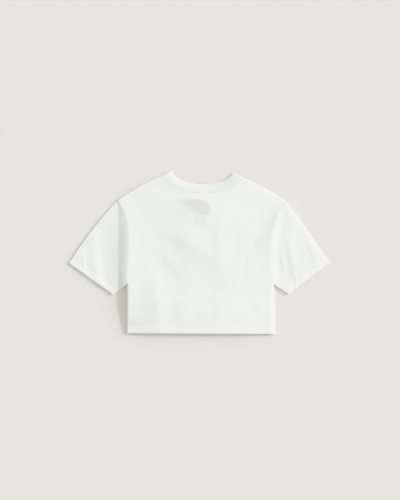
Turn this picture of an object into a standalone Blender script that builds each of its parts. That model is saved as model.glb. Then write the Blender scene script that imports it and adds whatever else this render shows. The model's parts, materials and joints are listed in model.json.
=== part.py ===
"""A cropped T-shirt with dropped shoulders, lying flat on its front with its back uppermost.

It is built from the pieces that a maker cuts and sews: back, front, two sleeves, a doubled rib
neckband, and the label with its size tab that shows through the back. Each piece is a wall of cloth.
The upper cloth follows one height above the surface that the shirt lies on, and the lower cloth lies
on that surface. They meet halfway up the rounded edges: sides, shoulders, underarms and the folds
along the tops of the sleeves.

Metres, +Z up, +Y towards the neck. The origin is on the surface, under the middle of the shirt.
"""

import math

import bpy
import numpy as np

# Cloth
CLOTH = 0.0012  # jersey
RIB = 0.0022  # rib folded double
LABEL = 0.0010
SEAM_GAP = 0.0003  # between two pieces that are sewn together
CORNER_GAP = 0.0005  # how far a piece stops short of a corner where several meet
HEM_DEPTH = 0.022  # cloth turned up inside the body's hem
CUFF_DEPTH = 0.020
HEM_STEP = 0.0015  # over which a turned-up hem reaches its full thickness

# How high the upper face lies
LYING = 0.0034  # where the back lies on the front
DOUBLED = 0.0057  # over the hems, and around the neck
BAND_RISE = 0.0008  # the neckband stands this proud of the back
HEM_FADE = 0.012  # beyond a hem, the height falls back over this width
NECK_FADE_Y = (0.060, 0.105)  # the back rises towards the neck between these two y
NECK_FADE_X = (0.130, 0.200)  # and falls towards the shoulders between these two x

LEFT, RIGHT = 0, 1
SIDE_NAMES = ("left", "right")
OUTWARD = (-1, 1)  # the sign of x on each side

# Corners of the flat shape, seen from above
CORNERS = {
    # corner: left (x, y), right (x, y)
    "hem_corner": ((-0.2124, -0.2382), (0.2227, -0.2406)),
    "armpit": ((-0.2130, -0.0948), (0.2204, -0.0960)),
    "cuff_foot": ((-0.2543, -0.1240), (0.2631, -0.1232)),
    "cuff_top": ((-0.3835, -0.0317), (0.3835, -0.0317)),
    "shoulder_tip": ((-0.2419, 0.1530), (0.2522, 0.1512)),
    "band_foot": ((-0.1047, 0.2279), (0.1210, 0.2220)),
    "neck_tip": ((-0.0811, 0.2406), (0.0988, 0.2338)),
}

# The rounded edges, in turn from the hem to the neck: from corner to corner, bowed out by so much
EDGES = {
    "body_side": ("hem_corner", "armpit", 0.0),
    "underarm": ("armpit", "cuff_foot", 0.0),
    "sleeve_fold": ("cuff_top", "shoulder_tip", 0.0052),
    "shoulder": ("shoulder_tip", "band_foot", 0.0045),
    "band_end": ("band_foot", "neck_tip", 0.0),
}
BODY_EDGES = ("body_side", "shoulder")
SLEEVE_EDGES = ("underarm", "sleeve_fold")
BAND_EDGES = ("band_end",)

# Curved seams: where a cubic curve's two inner points lie
PULLS = {
    "neck_inside_back": ((-0.063, 0.190), (0.074, 0.186)),
    "neck_seam_back": ((-0.093, 0.158), (0.107, 0.154)),
    "neck_inside_front": ((-0.062, 0.112), (0.080, 0.108)),
    "neck_seam_front": ((-0.084, 0.080), (0.104, 0.078)),
    "left_armhole_back": ((-0.185, 0.063), (-0.222, -0.021)),
    "right_armhole_back": ((0.230, 0.107), (0.200, 0.042)),
    "left_armhole_front": ((-0.176, 0.060), (-0.212, -0.022)),
    "right_armhole_front": ((0.222, 0.104), (0.190, 0.040)),
}

# The crest beside each armhole and side, over the cloth tucked under it: its rise, how far it stays
# level inside the seam, and the width of the slope inside that
CREST_COLUMNS = (
    *("y", "left_rise", "left_level", "left_slope"),
    *("right_rise", "right_level", "right_slope"),
)
CREST = (
    (-0.241, 0.0000, 0.004, 0.060, 0.0000, 0.004, 0.060),
    (-0.170, 0.0042, 0.006, 0.055, 0.0045, 0.006, 0.060),
    (-0.096, 0.0078, 0.008, 0.045, 0.0078, 0.018, 0.058),
    (-0.046, 0.0094, 0.008, 0.038, 0.0094, 0.040, 0.052),
    (0.0000, 0.0094, 0.008, 0.038, 0.0094, 0.030, 0.048),
    (0.0570, 0.0084, 0.007, 0.038, 0.0084, 0.010, 0.038),
    (0.1200, 0.0050, 0.003, 0.024, 0.0050, 0.003, 0.024),
    (0.1530, 0.0008, 0.000, 0.018, 0.0008, 0.000, 0.018),
)

# The crease in each sleeve where it comes up from under the crest, and where it meets the sleeve's
# fold and underarm, as shares of their length from the body
CREASE_COLUMNS = ("y", "left_x", "right_x")
CREASE = (
    (-0.1150, -0.2385, 0.2390),
    (-0.0650, -0.2390, 0.2316),
    (-0.0060, -0.2368, 0.2298),
    (0.0350, -0.2365, 0.2345),
    (0.0880, -0.2387, 0.2454),
    (0.1450, -0.2460, 0.2570),
)

CREASE_ENDS = (0.03, 0.40)

# The largest folds: their crest's two ends, the height there, and the width on each hand of that run
FOLD_COLUMNS = ("start", "end", "height", "end_height", "left_width", "right_width")
FOLDS = {
    "body_long": ((-0.118, 0.086), (0.040, -0.016), 0.0022, 0.0016, 0.045, 0.024),
    "body_low": ((-0.148, 0.040), (-0.031, -0.101), 0.0016, 0.0014, 0.035, 0.020),
    "body_middle": ((0.062, 0.066), (0.080, -0.075), 0.0012, 0.0010, 0.040, 0.018),
    "body_hem": ((-0.148, -0.075), (-0.116, -0.210), 0.0018, 0.0026, 0.015, 0.045),
    "body_foot": ((-0.058, -0.130), (-0.046, -0.200), 0.0016, 0.0010, 0.030, 0.020),
    "left_inner": ((-0.250, 0.130), (-0.249, -0.105), 0.0024, 0.0030, 0.008, 0.018),
    "left_middle": ((-0.314, 0.057), (-0.296, -0.091), 0.0018, 0.0030, 0.018, 0.022),
    "left_outer": ((-0.300, 0.085), (-0.350, -0.030), 0.0008, 0.0018, 0.022, 0.016),
    "right_inner": ((0.260, 0.139), (0.281, 0.057), 0.0020, 0.0020, 0.016, 0.010),
    "right_middle": ((0.258, 0.045), (0.285, -0.075), 0.0022, 0.0030, 0.014, 0.011),
    "right_outer": ((0.306, 0.078), (0.341, -0.030), 0.0022, 0.0030, 0.018, 0.010),
}
FOLD_FADE = 0.12  # a fold fades over this share of its run, past each end

# Labels inside the back: middle x, top y, width, height
LABELS = {
    "neck_label": (-0.0110, 0.1590, 0.084, 0.048),
    "size_tab": (0.0065, 0.1106, 0.038, 0.032),
}

# Mesh
EDGE_STEPS = (0.0, 0.0004, 0.0014, 0.0032, 0.0070)  # rows beside a rounded edge
ARMHOLE_CELLS = 15
SIDE_CELLS = 6
SHOULDER_CELLS = 4
NECK_CELLS = 15
BAND_CELLS = 4
SLOPE_CELLS = 4  # from a sleeve's armhole to its crease
SLEEVE_CELLS = 8  # from there to its hem
CUFF_CELLS = 2
LABEL_CELLS = (6, 4)
ROUTE_POINTS = 48
SLOPE_PROBE = 0.0005  # half the distance over which the height's slope is taken
SHARP_ANGLE = math.radians(40)
TINY = 1e-9

WHITE = (0.83, 0.85, 0.82, 1.0)
RIB_WHITE = (0.82, 0.84, 0.81, 1.0)
LABEL_GREY = (0.62, 0.60, 0.58, 1.0)


# Runs: each gives the plan's points for an array of shares from 0 to 1


def straight(start, end, bow=0.0):
    """A run from start to end that bows out to its left."""
    along = end - start
    left = np.array((-along[1], along[0])) / np.hypot(*along)

    def run(share):
        t = np.asarray(share, float)[:, None]
        return start + along * t + left * bow * 4 * t * (1 - t)

    return run


def cubic(start, pulls, end):
    first, second = (np.array(pull) for pull in pulls)

    def run(share):
        t = np.asarray(share, float)[:, None]
        s = 1 - t
        return start * s**3 + 3 * first * s**2 * t + 3 * second * s * t**2 + end * t**3

    return run


def backwards(run):
    return lambda share: run(1 - np.asarray(share, float))


def in_turn(runs, marks):
    """Several runs as one, where each ends at its mark."""
    marks = (0.0, *marks, 1.0)

    def run(share):
        share = np.asarray(share, float)
        found = np.zeros((len(share), 2))
        for part, low, high in zip(runs, marks, marks[1:]):
            here = (share >= low) & (share <= high)
            found[here] = part((share[here] - low) / (high - low))
        return found

    return run


def corner(name, side):
    return np.array(CORNERS[name][side])


def edge(name, side):
    start, end, bow = EDGES[name]
    return straight(corner(start, side), corner(end, side), -bow * OUTWARD[side])


def armhole(side, layer):
    """From the armpit up to the shoulder's tip."""
    pulls = PULLS[f"{SIDE_NAMES[side]}_armhole_{layer}"]
    return backwards(cubic(corner("shoulder_tip", side), pulls, corner("armpit", side)))


def neck(name):
    end = "neck_tip" if "inside" in name else "band_foot"
    return cubic(corner(end, LEFT), PULLS[name], corner(end, RIGHT))


# Edges


def edge_pieces(names):
    """The short straight pieces of these edges on both sides: starts, ends and ways out."""
    share = np.linspace(0, 1, ROUTE_POINTS)
    starts, ends, normals = [], [], []
    for side in (LEFT, RIGHT):
        for name in names:
            points = edge(name, side)(share)
            along = np.diff(points, axis=0)
            normal = np.stack([along[:, 1], -along[:, 0]], 1) * OUTWARD[side]
            starts.append(points[:-1])
            ends.append(points[1:])
            normals.append(normal / np.hypot(along[:, 0], along[:, 1])[:, None])
    return np.concatenate(starts), np.concatenate(ends), np.concatenate(normals)


def nearest_edge(points, names=tuple(EDGES)):
    """How far each point is from these edges, the way to the nearest, and that edge's way out."""
    starts, ends, normals = edge_pieces(names)
    along = ends - starts
    share = ((points[:, None] - starts) * along).sum(2) / (along**2).sum(1)
    way = starts + along * np.clip(share, 0, 1)[..., None] - points[:, None]
    distance = np.hypot(way[..., 0], way[..., 1])
    best = distance.argmin(1)
    every = np.arange(len(points))
    nearest = distance[every, best]
    return nearest, way[every, best] / np.maximum(nearest, TINY)[:, None], normals[best]


# Heights


def smooth(share):
    t = np.clip(share, 0, 1)
    return t * t * (3 - 2 * t)


def between(value, limits):
    """From 0 at the first limit to 1 at the second."""
    return smooth((value - limits[0]) / (limits[1] - limits[0]))


def column(table, names, name):
    return [row[names.index(name)] for row in table]


def across_line(points, start, end):
    """How far along a line each point lies, as a share, and how far to its left, in metres."""
    run = np.asarray(end) - np.asarray(start)
    offset = points - np.asarray(start)
    length = np.hypot(*run)
    return offset @ run / length**2, offset @ np.array((-run[1], run[0])) / length


def fold_heights(points):
    """Each fold is a bell across its run, unlike on its two hands, that fades past its ends."""
    total = np.zeros(len(points))
    for row in FOLDS.values():
        fold = dict(zip(FOLD_COLUMNS, row))
        along, left = across_line(points, fold["start"], fold["end"])
        width = np.where(left > 0, fold["left_width"], fold["right_width"])
        past = np.maximum(0, np.maximum(-along, along - 1)) / FOLD_FADE
        share = np.clip(along, 0, 1)
        height = fold["height"] * (1 - share) + fold["end_height"] * share
        total += height * np.exp(-((left / width) ** 2) - past**2)
    return total


def crest_at(y, kind):
    return np.interp(y, column(CREST, CREST_COLUMNS, "y"), column(CREST, CREST_COLUMNS, kind))


def crease_x(y, name):
    return np.interp(y, column(CREASE, CREASE_COLUMNS, "y"), column(CREASE, CREASE_COLUMNS, f"{name}_x"))


def crest(points, sleeve):
    """The crest's rise: level, then a slope on the body; a quarter wave down to the crease on a sleeve."""
    rise = np.zeros(len(points))
    share = np.linspace(0, 1, ROUTE_POINTS)
    y = points[:, 1]
    for side, name in enumerate(SIDE_NAMES):
        seam = armhole(side, "back")(share)
        side_edge = edge("body_side", side)(share)
        out = OUTWARD[side] * points[:, 0]
        seam_out = np.interp(y, seam[:, 1], OUTWARD[side] * seam[:, 0])
        edge_out = np.interp(y, side_edge[:, 1], OUTWARD[side] * side_edge[:, 0])
        armpit_y = corner("armpit", side)[1]
        if sleeve:
            crease_out = OUTWARD[side] * crease_x(y, name)
            up = np.clip((crease_out - out) / np.maximum(crease_out - seam_out, TINY), 0, 1)
            height = crest_at(np.maximum(y, armpit_y), f"{name}_rise")
            rise += np.where(out > 0, height * np.sin(up * math.pi / 2), 0)
        else:
            inside = np.where(y > armpit_y, seam_out, edge_out) - out
            down = (inside - crest_at(y, f"{name}_level")) / crest_at(y, f"{name}_slope")
            rise += crest_at(y, f"{name}_rise") * (1 - smooth(down))
    return rise


def doubled_cloth(points, sleeve):
    """How far the height follows doubled cloth: 1 over the hems and around the neck."""
    x, y = points.T
    if not sleeve:
        hem = 1 - smooth((y - corner("hem_corner", LEFT)[1] - HEM_DEPTH) / HEM_FADE)
        around_neck = between(y, NECK_FADE_Y) * (1 - between(np.abs(x), NECK_FADE_X))
        return np.maximum(hem, around_neck)
    found = np.zeros(len(points))
    for side in (LEFT, RIGHT):
        _, away = across_line(points, corner("cuff_top", side), corner("cuff_foot", side))
        hem = 1 - smooth((np.abs(away) - CUFF_DEPTH) / HEM_FADE)
        found += np.where(x * OUTWARD[side] > 0, hem, 0)
    return found


def top_height(points, sleeve=False, band=False):
    """How high the upper face lies above the surface, before it turns down at an edge."""
    flat = LYING + (DOUBLED - LYING) * doubled_cloth(points, sleeve)
    if band:
        return flat + BAND_RISE
    return flat + crest(points, sleeve) + fold_heights(points)


def faces_of(plan, upper, thick, on_edge, edges, **kind):
    """The outer and inner face of a wall over a plan.

    An edge is half a circle across, as high as the cloth lies there. on_edge marks the points of the
    plan that lie on one of the piece's own edges.
    """
    shape = plan.shape[:2]
    points, on_edge = plan.reshape(-1, 2), on_edge.reshape(-1)
    height = top_height(points, **kind)
    slope = []
    for probe in np.eye(2) * SLOPE_PROBE:
        rise = top_height(points + probe, **kind) - top_height(points - probe, **kind)
        slope.append(rise / (2 * SLOPE_PROBE))
    slope = np.stack(slope, 1)
    distance, out, _ = nearest_edge(points)
    _, _, normal_out = nearest_edge(points, edges)
    distance[on_edge] = 0
    out[on_edge] = normal_out[on_edge]

    radius = height / 2
    side_on = np.clip(1 - distance / radius, 0, 1)[:, None]
    face_on = np.sqrt(1 - side_on**2)
    if upper:
        z = radius + radius * face_on[:, 0]
        normal = np.concatenate([out * side_on - slope * face_on, face_on], 1)
    else:
        z = radius - radius * face_on[:, 0]
        normal = np.concatenate([out * side_on, -face_on], 1)
    normal /= np.linalg.norm(normal, axis=1)[:, None]
    outer = np.concatenate([points, z[:, None]], 1)
    inner = outer - normal * np.broadcast_to(thick, shape).reshape(-1, 1)
    return outer.reshape(*shape, 3), inner.reshape(*shape, 3)


# Plans


def graded(length, cells, steps=EDGE_STEPS):
    """Shares of a run that is so long: fine steps beside both ends, even cells between."""
    fine = np.array(steps) / length
    return np.concatenate([fine[:-1], np.linspace(fine[-1], 1 - fine[-1], cells + 1), 1 - fine[-2::-1]])


def draw_back(plan, rows, columns, step, gap):
    """Moves these points of a plan by the gap, towards the neighbour that is a step away."""
    rows, columns = np.broadcast_arrays(rows, columns)
    way = plan[rows + step[0], columns + step[1]] - plan[rows, columns]
    length = np.hypot(way[..., 0], way[..., 1])
    plan[rows, columns] += way / length[..., None] * gap


SEAM_LENGTH = 0.25
ARMHOLE_SHARES = graded(SEAM_LENGTH, ARMHOLE_CELLS)
NECK_SHARES = graded(SEAM_LENGTH, NECK_CELLS)


def body_panel(name, layer, cloth):
    """Back or front: hem, sides, armholes, shoulders and neck, with the hem turned up inside."""
    left_hem, right_hem = corner("hem_corner", LEFT), corner("hem_corner", RIGHT)
    width = right_hem[0] - left_hem[0]
    side_length = corner("armpit", LEFT)[1] - left_hem[1]

    # Columns: shoulder, neck, shoulder, each straight down to the hem
    feet = [(corner("band_foot", side)[0] - left_hem[0]) / width for side in (LEFT, RIGHT)]
    edge_shares = np.array(EDGE_STEPS) / width
    left = np.linspace(edge_shares[-1], feet[0], SHOULDER_CELLS + 1)[:-1]
    right = np.linspace(feet[1], 1 - edge_shares[-1], SHOULDER_CELLS + 1)[1:]
    middle = feet[0] + NECK_SHARES * (feet[1] - feet[0])
    us = np.concatenate([edge_shares[:-1], left, middle, right, 1 - edge_shares[-2::-1]])

    # Rows: hem, side, armhole
    armpit_mark = side_length / (side_length + SEAM_LENGTH)
    hem_marks = np.array((0.0, HEM_DEPTH, HEM_DEPTH + HEM_STEP)) / side_length * armpit_mark
    side_marks = np.linspace(hem_marks[-1], armpit_mark, SIDE_CELLS + 1)[1:-1]
    vs = np.concatenate([hem_marks, side_marks, armpit_mark + ARMHOLE_SHARES * (1 - armpit_mark)])

    hem = straight(left_hem, right_hem)(us)
    neck_seam = neck(f"neck_seam_{layer}")
    top = in_turn((edge("shoulder", LEFT), neck_seam, backwards(edge("shoulder", RIGHT))), feet)(us)
    u, v = us[None, :, None], vs[:, None, None]
    plan = (1 - v) * hem + v * top
    # The sides' curves fade out before the neck's columns
    reach = (1 - u / feet[0], 1 - (1 - u) / (1 - feet[1]))
    for side, weight in enumerate(reach):
        run = in_turn((edge("body_side", side), armhole(side, layer)), (armpit_mark,))(vs)
        plan = plan + np.clip(weight, 0, 1) ** 2 * (run - plan[:, -side])[:, None]

    armpit = int(np.searchsorted(vs, armpit_mark - TINY))
    first, last = (int(np.searchsorted(us, foot - TINY)) for foot in feet)
    bottom_rows, armhole_rows = np.arange(armpit + 1), np.arange(armpit + 1, len(vs) - 1)
    neck_columns = np.arange(first + 1, last)
    top_row, end_column = len(vs) - 1, len(us) - 1
    for at, inwards in ((0, 1), (end_column, -1)):
        draw_back(plan, armhole_rows, at, (0, inwards), SEAM_GAP / 2)
        draw_back(plan, armpit, at, (-1, 0), CORNER_GAP)
        draw_back(plan, top_row, at, (0, inwards), CORNER_GAP)
    draw_back(plan, top_row, neck_columns, (-1, 0), SEAM_GAP / 2)
    draw_back(plan, top_row, first, (0, -1), CORNER_GAP)
    draw_back(plan, top_row, last, (0, 1), CORNER_GAP)

    on_edge = np.zeros(plan.shape[:2], bool)
    on_edge[bottom_rows, 0] = on_edge[bottom_rows, end_column] = True
    on_edge[top_row, : first + 1] = on_edge[top_row, last:] = True
    hem_share = 1 - np.clip((plan[..., 1] - hem[None, :, 1] - HEM_DEPTH) / HEM_STEP, 0, 1)
    faces = faces_of(plan, layer == "back", CLOTH * (1 + hem_share), on_edge, BODY_EDGES)
    part_way = SEAM_GAP / 2 if layer == "back" else -SEAM_GAP / 2
    for face in faces:
        face[..., 2] += part_way * on_edge
    return add_wall(name, *faces, cloth, outwards=layer == "back")


def sleeve_plan(side, layer):
    """Rows run from the armhole to the cuff; columns from the fold along the top to the underarm."""
    fold, under = backwards(edge("sleeve_fold", side)), edge("underarm", side)
    fold_length = np.hypot(*(corner("cuff_top", side) - corner("shoulder_tip", side)))
    under_length = np.hypot(*(corner("cuff_foot", side) - corner("armpit", side)))
    shares = 1 - ARMHOLE_SHARES[::-1]

    # Key rows, and their shares of the fold and of the underarm
    crease_y = CREASE[-1][0] + (CREASE[0][0] - CREASE[-1][0]) * shares
    crease = np.stack([crease_x(crease_y, SIDE_NAMES[side]), crease_y], 1)
    hem = np.array((CUFF_DEPTH + HEM_STEP, CUFF_DEPTH, 0.0))
    fold_marks = (0.0, CREASE_ENDS[0], *(1 - hem / fold_length))
    under_marks = (0.0, CREASE_ENDS[1], *(1 - hem / under_length))
    fold_ends, under_ends = fold(fold_marks), under(under_marks)
    keys = [
        backwards(armhole(side, layer))(shares),
        crease,
        *(straight(a, b)(shares) for a, b in zip(fold_ends[2:], under_ends[2:])),
    ]
    rows, fold_shares, under_shares = [], [], []
    cells = (SLOPE_CELLS, SLEEVE_CELLS, 1, CUFF_CELLS)
    for at, count in enumerate(cells):
        for share in np.arange(count) / count:
            rows.append(keys[at] * (1 - share) + keys[at + 1] * share)
            fold_shares.append(fold_marks[at] * (1 - share) + fold_marks[at + 1] * share)
            under_shares.append(under_marks[at] * (1 - share) + under_marks[at + 1] * share)
    plan = np.stack([*rows, keys[-1]])
    top, low = fold([*fold_shares, 1]), under([*under_shares, 1])
    v = shares[None, :, None]
    return plan + (1 - v) * (top - plan[:, 0])[:, None] + v * (low - plan[:, -1])[:, None]


def sleeve(name, side, cloth):
    """A tube pressed flat: folded along its top, sewn along the underarm, its cuff turned up inside."""
    walls = []
    for layer in ("back", "front"):
        plan = sleeve_plan(side, layer)
        ends = (0, plan.shape[1] - 1)
        draw_back(plan, 0, np.arange(1, ends[1]), (1, 0), SEAM_GAP / 2)
        draw_back(plan, 0, np.array(ends), (1, 0), CORNER_GAP)
        on_edge = np.zeros(plan.shape[:2], bool)
        on_edge[:, ends] = True
        turned_up = np.arange(len(plan)) >= len(plan) - 1 - CUFF_CELLS
        thick = CLOTH * (1 + turned_up[:, None])
        walls.append(faces_of(plan, layer == "back", thick, on_edge, SLEEVE_EDGES, sleeve=True))
    return add_wall(name, *joined_round(walls), cloth, outwards=side == RIGHT, closed=True)


def neckband(rib):
    """A doubled strip of rib in a ring, folded flat at the two shoulders."""
    widths = np.linspace(0, 1, BAND_CELLS + 1)[:, None, None]
    walls = []
    for layer in ("back", "front"):
        inside, seam = (neck(f"neck_{run}_{layer}")(NECK_SHARES) for run in ("inside", "seam"))
        plan = inside * (1 - widths) + seam * widths
        ends = (0, plan.shape[1] - 1)
        draw_back(plan, BAND_CELLS, np.arange(1, ends[1]), (-1, 0), SEAM_GAP / 2)
        draw_back(plan, BAND_CELLS, np.array(ends), (-1, 0), CORNER_GAP)
        on_edge = np.zeros(plan.shape[:2], bool)
        on_edge[:, ends] = True
        walls.append(faces_of(plan, layer == "back", RIB, on_edge, BAND_EDGES, band=True))
    return add_wall("neckband", *joined_round(walls), rib, outwards=False, closed=True)


def label(name, tape):
    """A flat label against the inside of the back."""
    middle, top, width, height = LABELS[name]
    across = np.linspace(-width / 2, width / 2, LABEL_CELLS[0] + 1) + middle
    down = np.linspace(top - height, top, LABEL_CELLS[1] + 1)
    plan = np.stack(np.meshgrid(across, down), -1)
    no_edge = np.zeros(plan.shape[:2], bool)
    depth = CLOTH + SEAM_GAP
    faces = [faces_of(plan, True, thick, no_edge, BODY_EDGES)[1] for thick in (depth, depth + LABEL)]
    return add_wall(name, *faces, tape, outwards=True)


# Meshes


def joined_round(walls):
    """The upper and lower faces of a flattened tube as one ring of columns."""
    (upper_out, upper_in), (lower_out, lower_in) = walls
    outer = np.concatenate([upper_out, lower_out[:, -2:0:-1]], 1)
    inner = np.concatenate([upper_in, lower_in[:, -2:0:-1]], 1)
    return outer, inner


def add_wall(name, outer, inner, look, outwards, closed=False):
    """A wall between two faces that are grids of one size; closed joins the last column to the first."""
    rows, columns = outer.shape[:2]
    index = np.arange(rows * columns).reshape(rows, columns)
    if closed:
        index = np.concatenate([index, index[:, :1]], 1)
        rims = [index[0], index[-1, ::-1]]
    else:
        rims = [np.concatenate([index[0, :-1], index[:-1, -1], index[-1, :0:-1], index[::-1, 0]])]
    cells = np.stack([index[:-1, :-1], index[:-1, 1:], index[1:, 1:], index[1:, :-1]], -1).reshape(-1, 4)
    under = rows * columns
    faces = [cells, cells[:, ::-1] + under]
    for rim in rims:
        faces.append(np.stack([rim[1:], rim[:-1], rim[:-1] + under, rim[1:] + under], -1))
    faces = np.concatenate(faces)
    if not outwards:
        faces = faces[:, ::-1]
    mesh = bpy.data.meshes.new(name)
    points = np.concatenate([outer.reshape(-1, 3), inner.reshape(-1, 3)])
    mesh.from_pydata(points.tolist(), [], faces.tolist())
    mesh.materials.append(look)
    mesh.shade_smooth()
    mesh.set_sharp_from_angle(angle=SHARP_ANGLE)
    piece = bpy.data.objects.new(name, mesh)
    bpy.data.collections["t_shirt"].objects.link(piece)
    return piece


def material(name, colour, roughness):
    made = bpy.data.materials.new(name)
    made.use_nodes = True
    shader = made.node_tree.nodes["Principled BSDF"]
    shader.inputs["Base Color"].default_value = colour
    shader.inputs["Roughness"].default_value = roughness
    shader.inputs["Metallic"].default_value = 0.0
    return made


def main():
    for thing in list(bpy.data.objects):
        bpy.data.objects.remove(thing)
    shirt = bpy.data.collections.new("t_shirt")
    bpy.context.scene.collection.children.link(shirt)

    jersey = material("white_jersey", WHITE, 0.9)
    body_panel("back", "back", jersey)
    body_panel("front", "front", jersey)
    sleeve("sleeve_left", LEFT, jersey)
    sleeve("sleeve_right", RIGHT, jersey)
    neckband(material("white_rib", RIB_WHITE, 0.92))
    tape = material("label_tape", LABEL_GREY, 0.7)
    for name in LABELS:
        label(name, tape)


main()
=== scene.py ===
# A cropped white T-shirt, laid flat with its back uppermost: cloth, folds, seams, stitching and light
# Metres, +Z up, +Y towards the neck, +X to the picture's right; the fold tables are in millimetres

import json
import math

import bpy
import numpy as np
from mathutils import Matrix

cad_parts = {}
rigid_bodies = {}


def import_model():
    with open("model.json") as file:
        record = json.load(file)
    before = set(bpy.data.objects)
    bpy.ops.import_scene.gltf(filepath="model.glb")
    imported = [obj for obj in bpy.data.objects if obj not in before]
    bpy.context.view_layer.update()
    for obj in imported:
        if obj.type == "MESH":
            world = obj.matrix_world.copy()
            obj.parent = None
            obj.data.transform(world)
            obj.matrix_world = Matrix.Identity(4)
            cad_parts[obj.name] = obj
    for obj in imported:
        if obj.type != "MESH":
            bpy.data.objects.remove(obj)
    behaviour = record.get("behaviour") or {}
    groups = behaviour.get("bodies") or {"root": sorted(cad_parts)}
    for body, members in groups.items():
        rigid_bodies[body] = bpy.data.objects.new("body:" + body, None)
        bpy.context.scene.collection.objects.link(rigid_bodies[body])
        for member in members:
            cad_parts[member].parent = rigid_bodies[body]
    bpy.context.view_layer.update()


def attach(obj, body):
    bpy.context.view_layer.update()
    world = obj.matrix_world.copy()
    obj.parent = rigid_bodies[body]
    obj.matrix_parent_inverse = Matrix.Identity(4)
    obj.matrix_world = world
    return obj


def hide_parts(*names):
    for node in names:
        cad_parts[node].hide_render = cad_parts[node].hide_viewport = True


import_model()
mm = 0.001
tiny = 1e-9
left, right = 0, 1
outward = (-1, 1)  # the sign of x on each side


# Picture: the camera straight above, a pale floor, a pale sky and a long low light on the right

picture = {
    "lens": 85.0,
    "sensor": 36.0,
    "longSide": 1.475,  # metres of floor along the picture's long side
    "clipEnd": 200,
    "middle": (0.0029, 0.0066),
    "floorColour": (0.790, 0.767, 0.730, 1.0),
    "floorRadius": 60.0,
    "floorPoints": 96,
    "floorZ": -0.0003,
    "horizon": (0.81, 0.79, 0.753, 1.0),
    "overhead": (0.713, 0.722, 0.655, 1.0),
    "skyRise": 0.7,  # how far up the sky is wholly overhead's colour, as a sine
    "keyColour": (1.0, 0.965, 1.19),
    "keyLamps": (
        # a long soft light: name, share of the floor's light, then in degrees its direction from +X
        # towards +Y, its height, and the width of its disc
        ("keyCore", 0.125, 21.0, 18.0, 5.0),
        ("keyWide", 0.080, 21.0, 12.5, 14.0),
        ("keyUpper", 0.045, 50.0, 12.5, 16.0),
        ("keyLower", 0.045, -10.0, 12.5, 16.0),
    ),
    # the camera's tone curve: straight up to a bright white, then it flattens
    "brightest": 2.0,
    "tone": ((0.88, 0.88), (0.96, 0.905), (1.10, 0.928), (1.30, 0.942), (2.0, 0.955)),
}


def addObject(name, data):
    made = bpy.data.objects.new(name, data)
    bpy.context.scene.collection.objects.link(made)
    return made


def makePicture(p):
    # the lens is as far up as its angle needs to take in the floor's long side
    camera = bpy.data.cameras.new("camera")
    camera.lens = p["lens"]
    camera.sensor_width = p["sensor"]
    camera.clip_end = p["clipEnd"]
    eye = addObject("camera", camera)
    eye.location = (*p["middle"], p["lens"] / p["sensor"] * p["longSide"])
    bpy.context.scene.camera = eye

    for name, share, azimuth, height, width in p["keyLamps"]:
        height = math.radians(height)
        lamp = bpy.data.lights.new(name, "SUN")
        lamp.energy = share * math.pi / math.sin(height)
        lamp.color = p["keyColour"]
        lamp.angle = math.radians(width)
        holder = addObject(name, lamp)
        holder.rotation_euler = (0, math.pi / 2 - height, math.radians(azimuth))


def setTone(p):
    # the tone curve works on light as shares of the brightest value
    view = bpy.context.scene.view_settings
    view.view_transform = "Standard"
    view.use_curve_mapping = True
    mapping = view.curve_mapping
    mapping.white_level = (p["brightest"],) * 3
    curve = mapping.curves[3]  # the one for all three colours
    curve.points[0].location = (0, 0)
    curve.points[1].location = (1, p["tone"][-1][1])
    for light, shown in p["tone"][:-1]:
        point = curve.points.new(light / p["brightest"], shown)
        point.handle_type = "VECTOR"
    mapping.update()


makePicture(picture)
setTone(picture)


# Shader building

class Wire:
    # a shader socket that takes arithmetic; numbers and colours stay plain values until a node needs them
    def __init__(self, net, socket):
        self.net = net
        self.socket = socket

    def sum(self, kind, first, second=0.0):
        return self.net.node("ShaderNodeMath", {"operation": kind}, {0: first, 1: second})

    def __add__(self, other):
        return self.sum("ADD", self, other)

    def __radd__(self, other):
        return self.sum("ADD", other, self)

    def __sub__(self, other):
        return self.sum("SUBTRACT", self, other)

    def __rsub__(self, other):
        return self.sum("SUBTRACT", other, self)

    def __mul__(self, other):
        return self.sum("MULTIPLY", self, other)

    def __rmul__(self, other):
        return self.sum("MULTIPLY", other, self)

    def __truediv__(self, other):
        return self.sum("DIVIDE", self, other)

    def __rtruediv__(self, other):
        return self.sum("DIVIDE", other, self)

    def __abs__(self):
        return self.sum("ABSOLUTE", self)

    def fraction(self):
        return self.sum("FRACT", self)

    def sine(self):
        return self.sum("SINE", self)

    def atLeast(self, other):
        return self.sum("MAXIMUM", self, other)

    def atMost(self, other):
        return self.sum("MINIMUM", self, other)

    def step(self, low, high):
        # smoothly from 0 at low to 1 at high
        values = {"Value": self, "From Min": low, "From Max": high}
        return self.net.node("ShaderNodeMapRange", {"interpolation_type": "SMOOTHSTEP"}, values)


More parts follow.
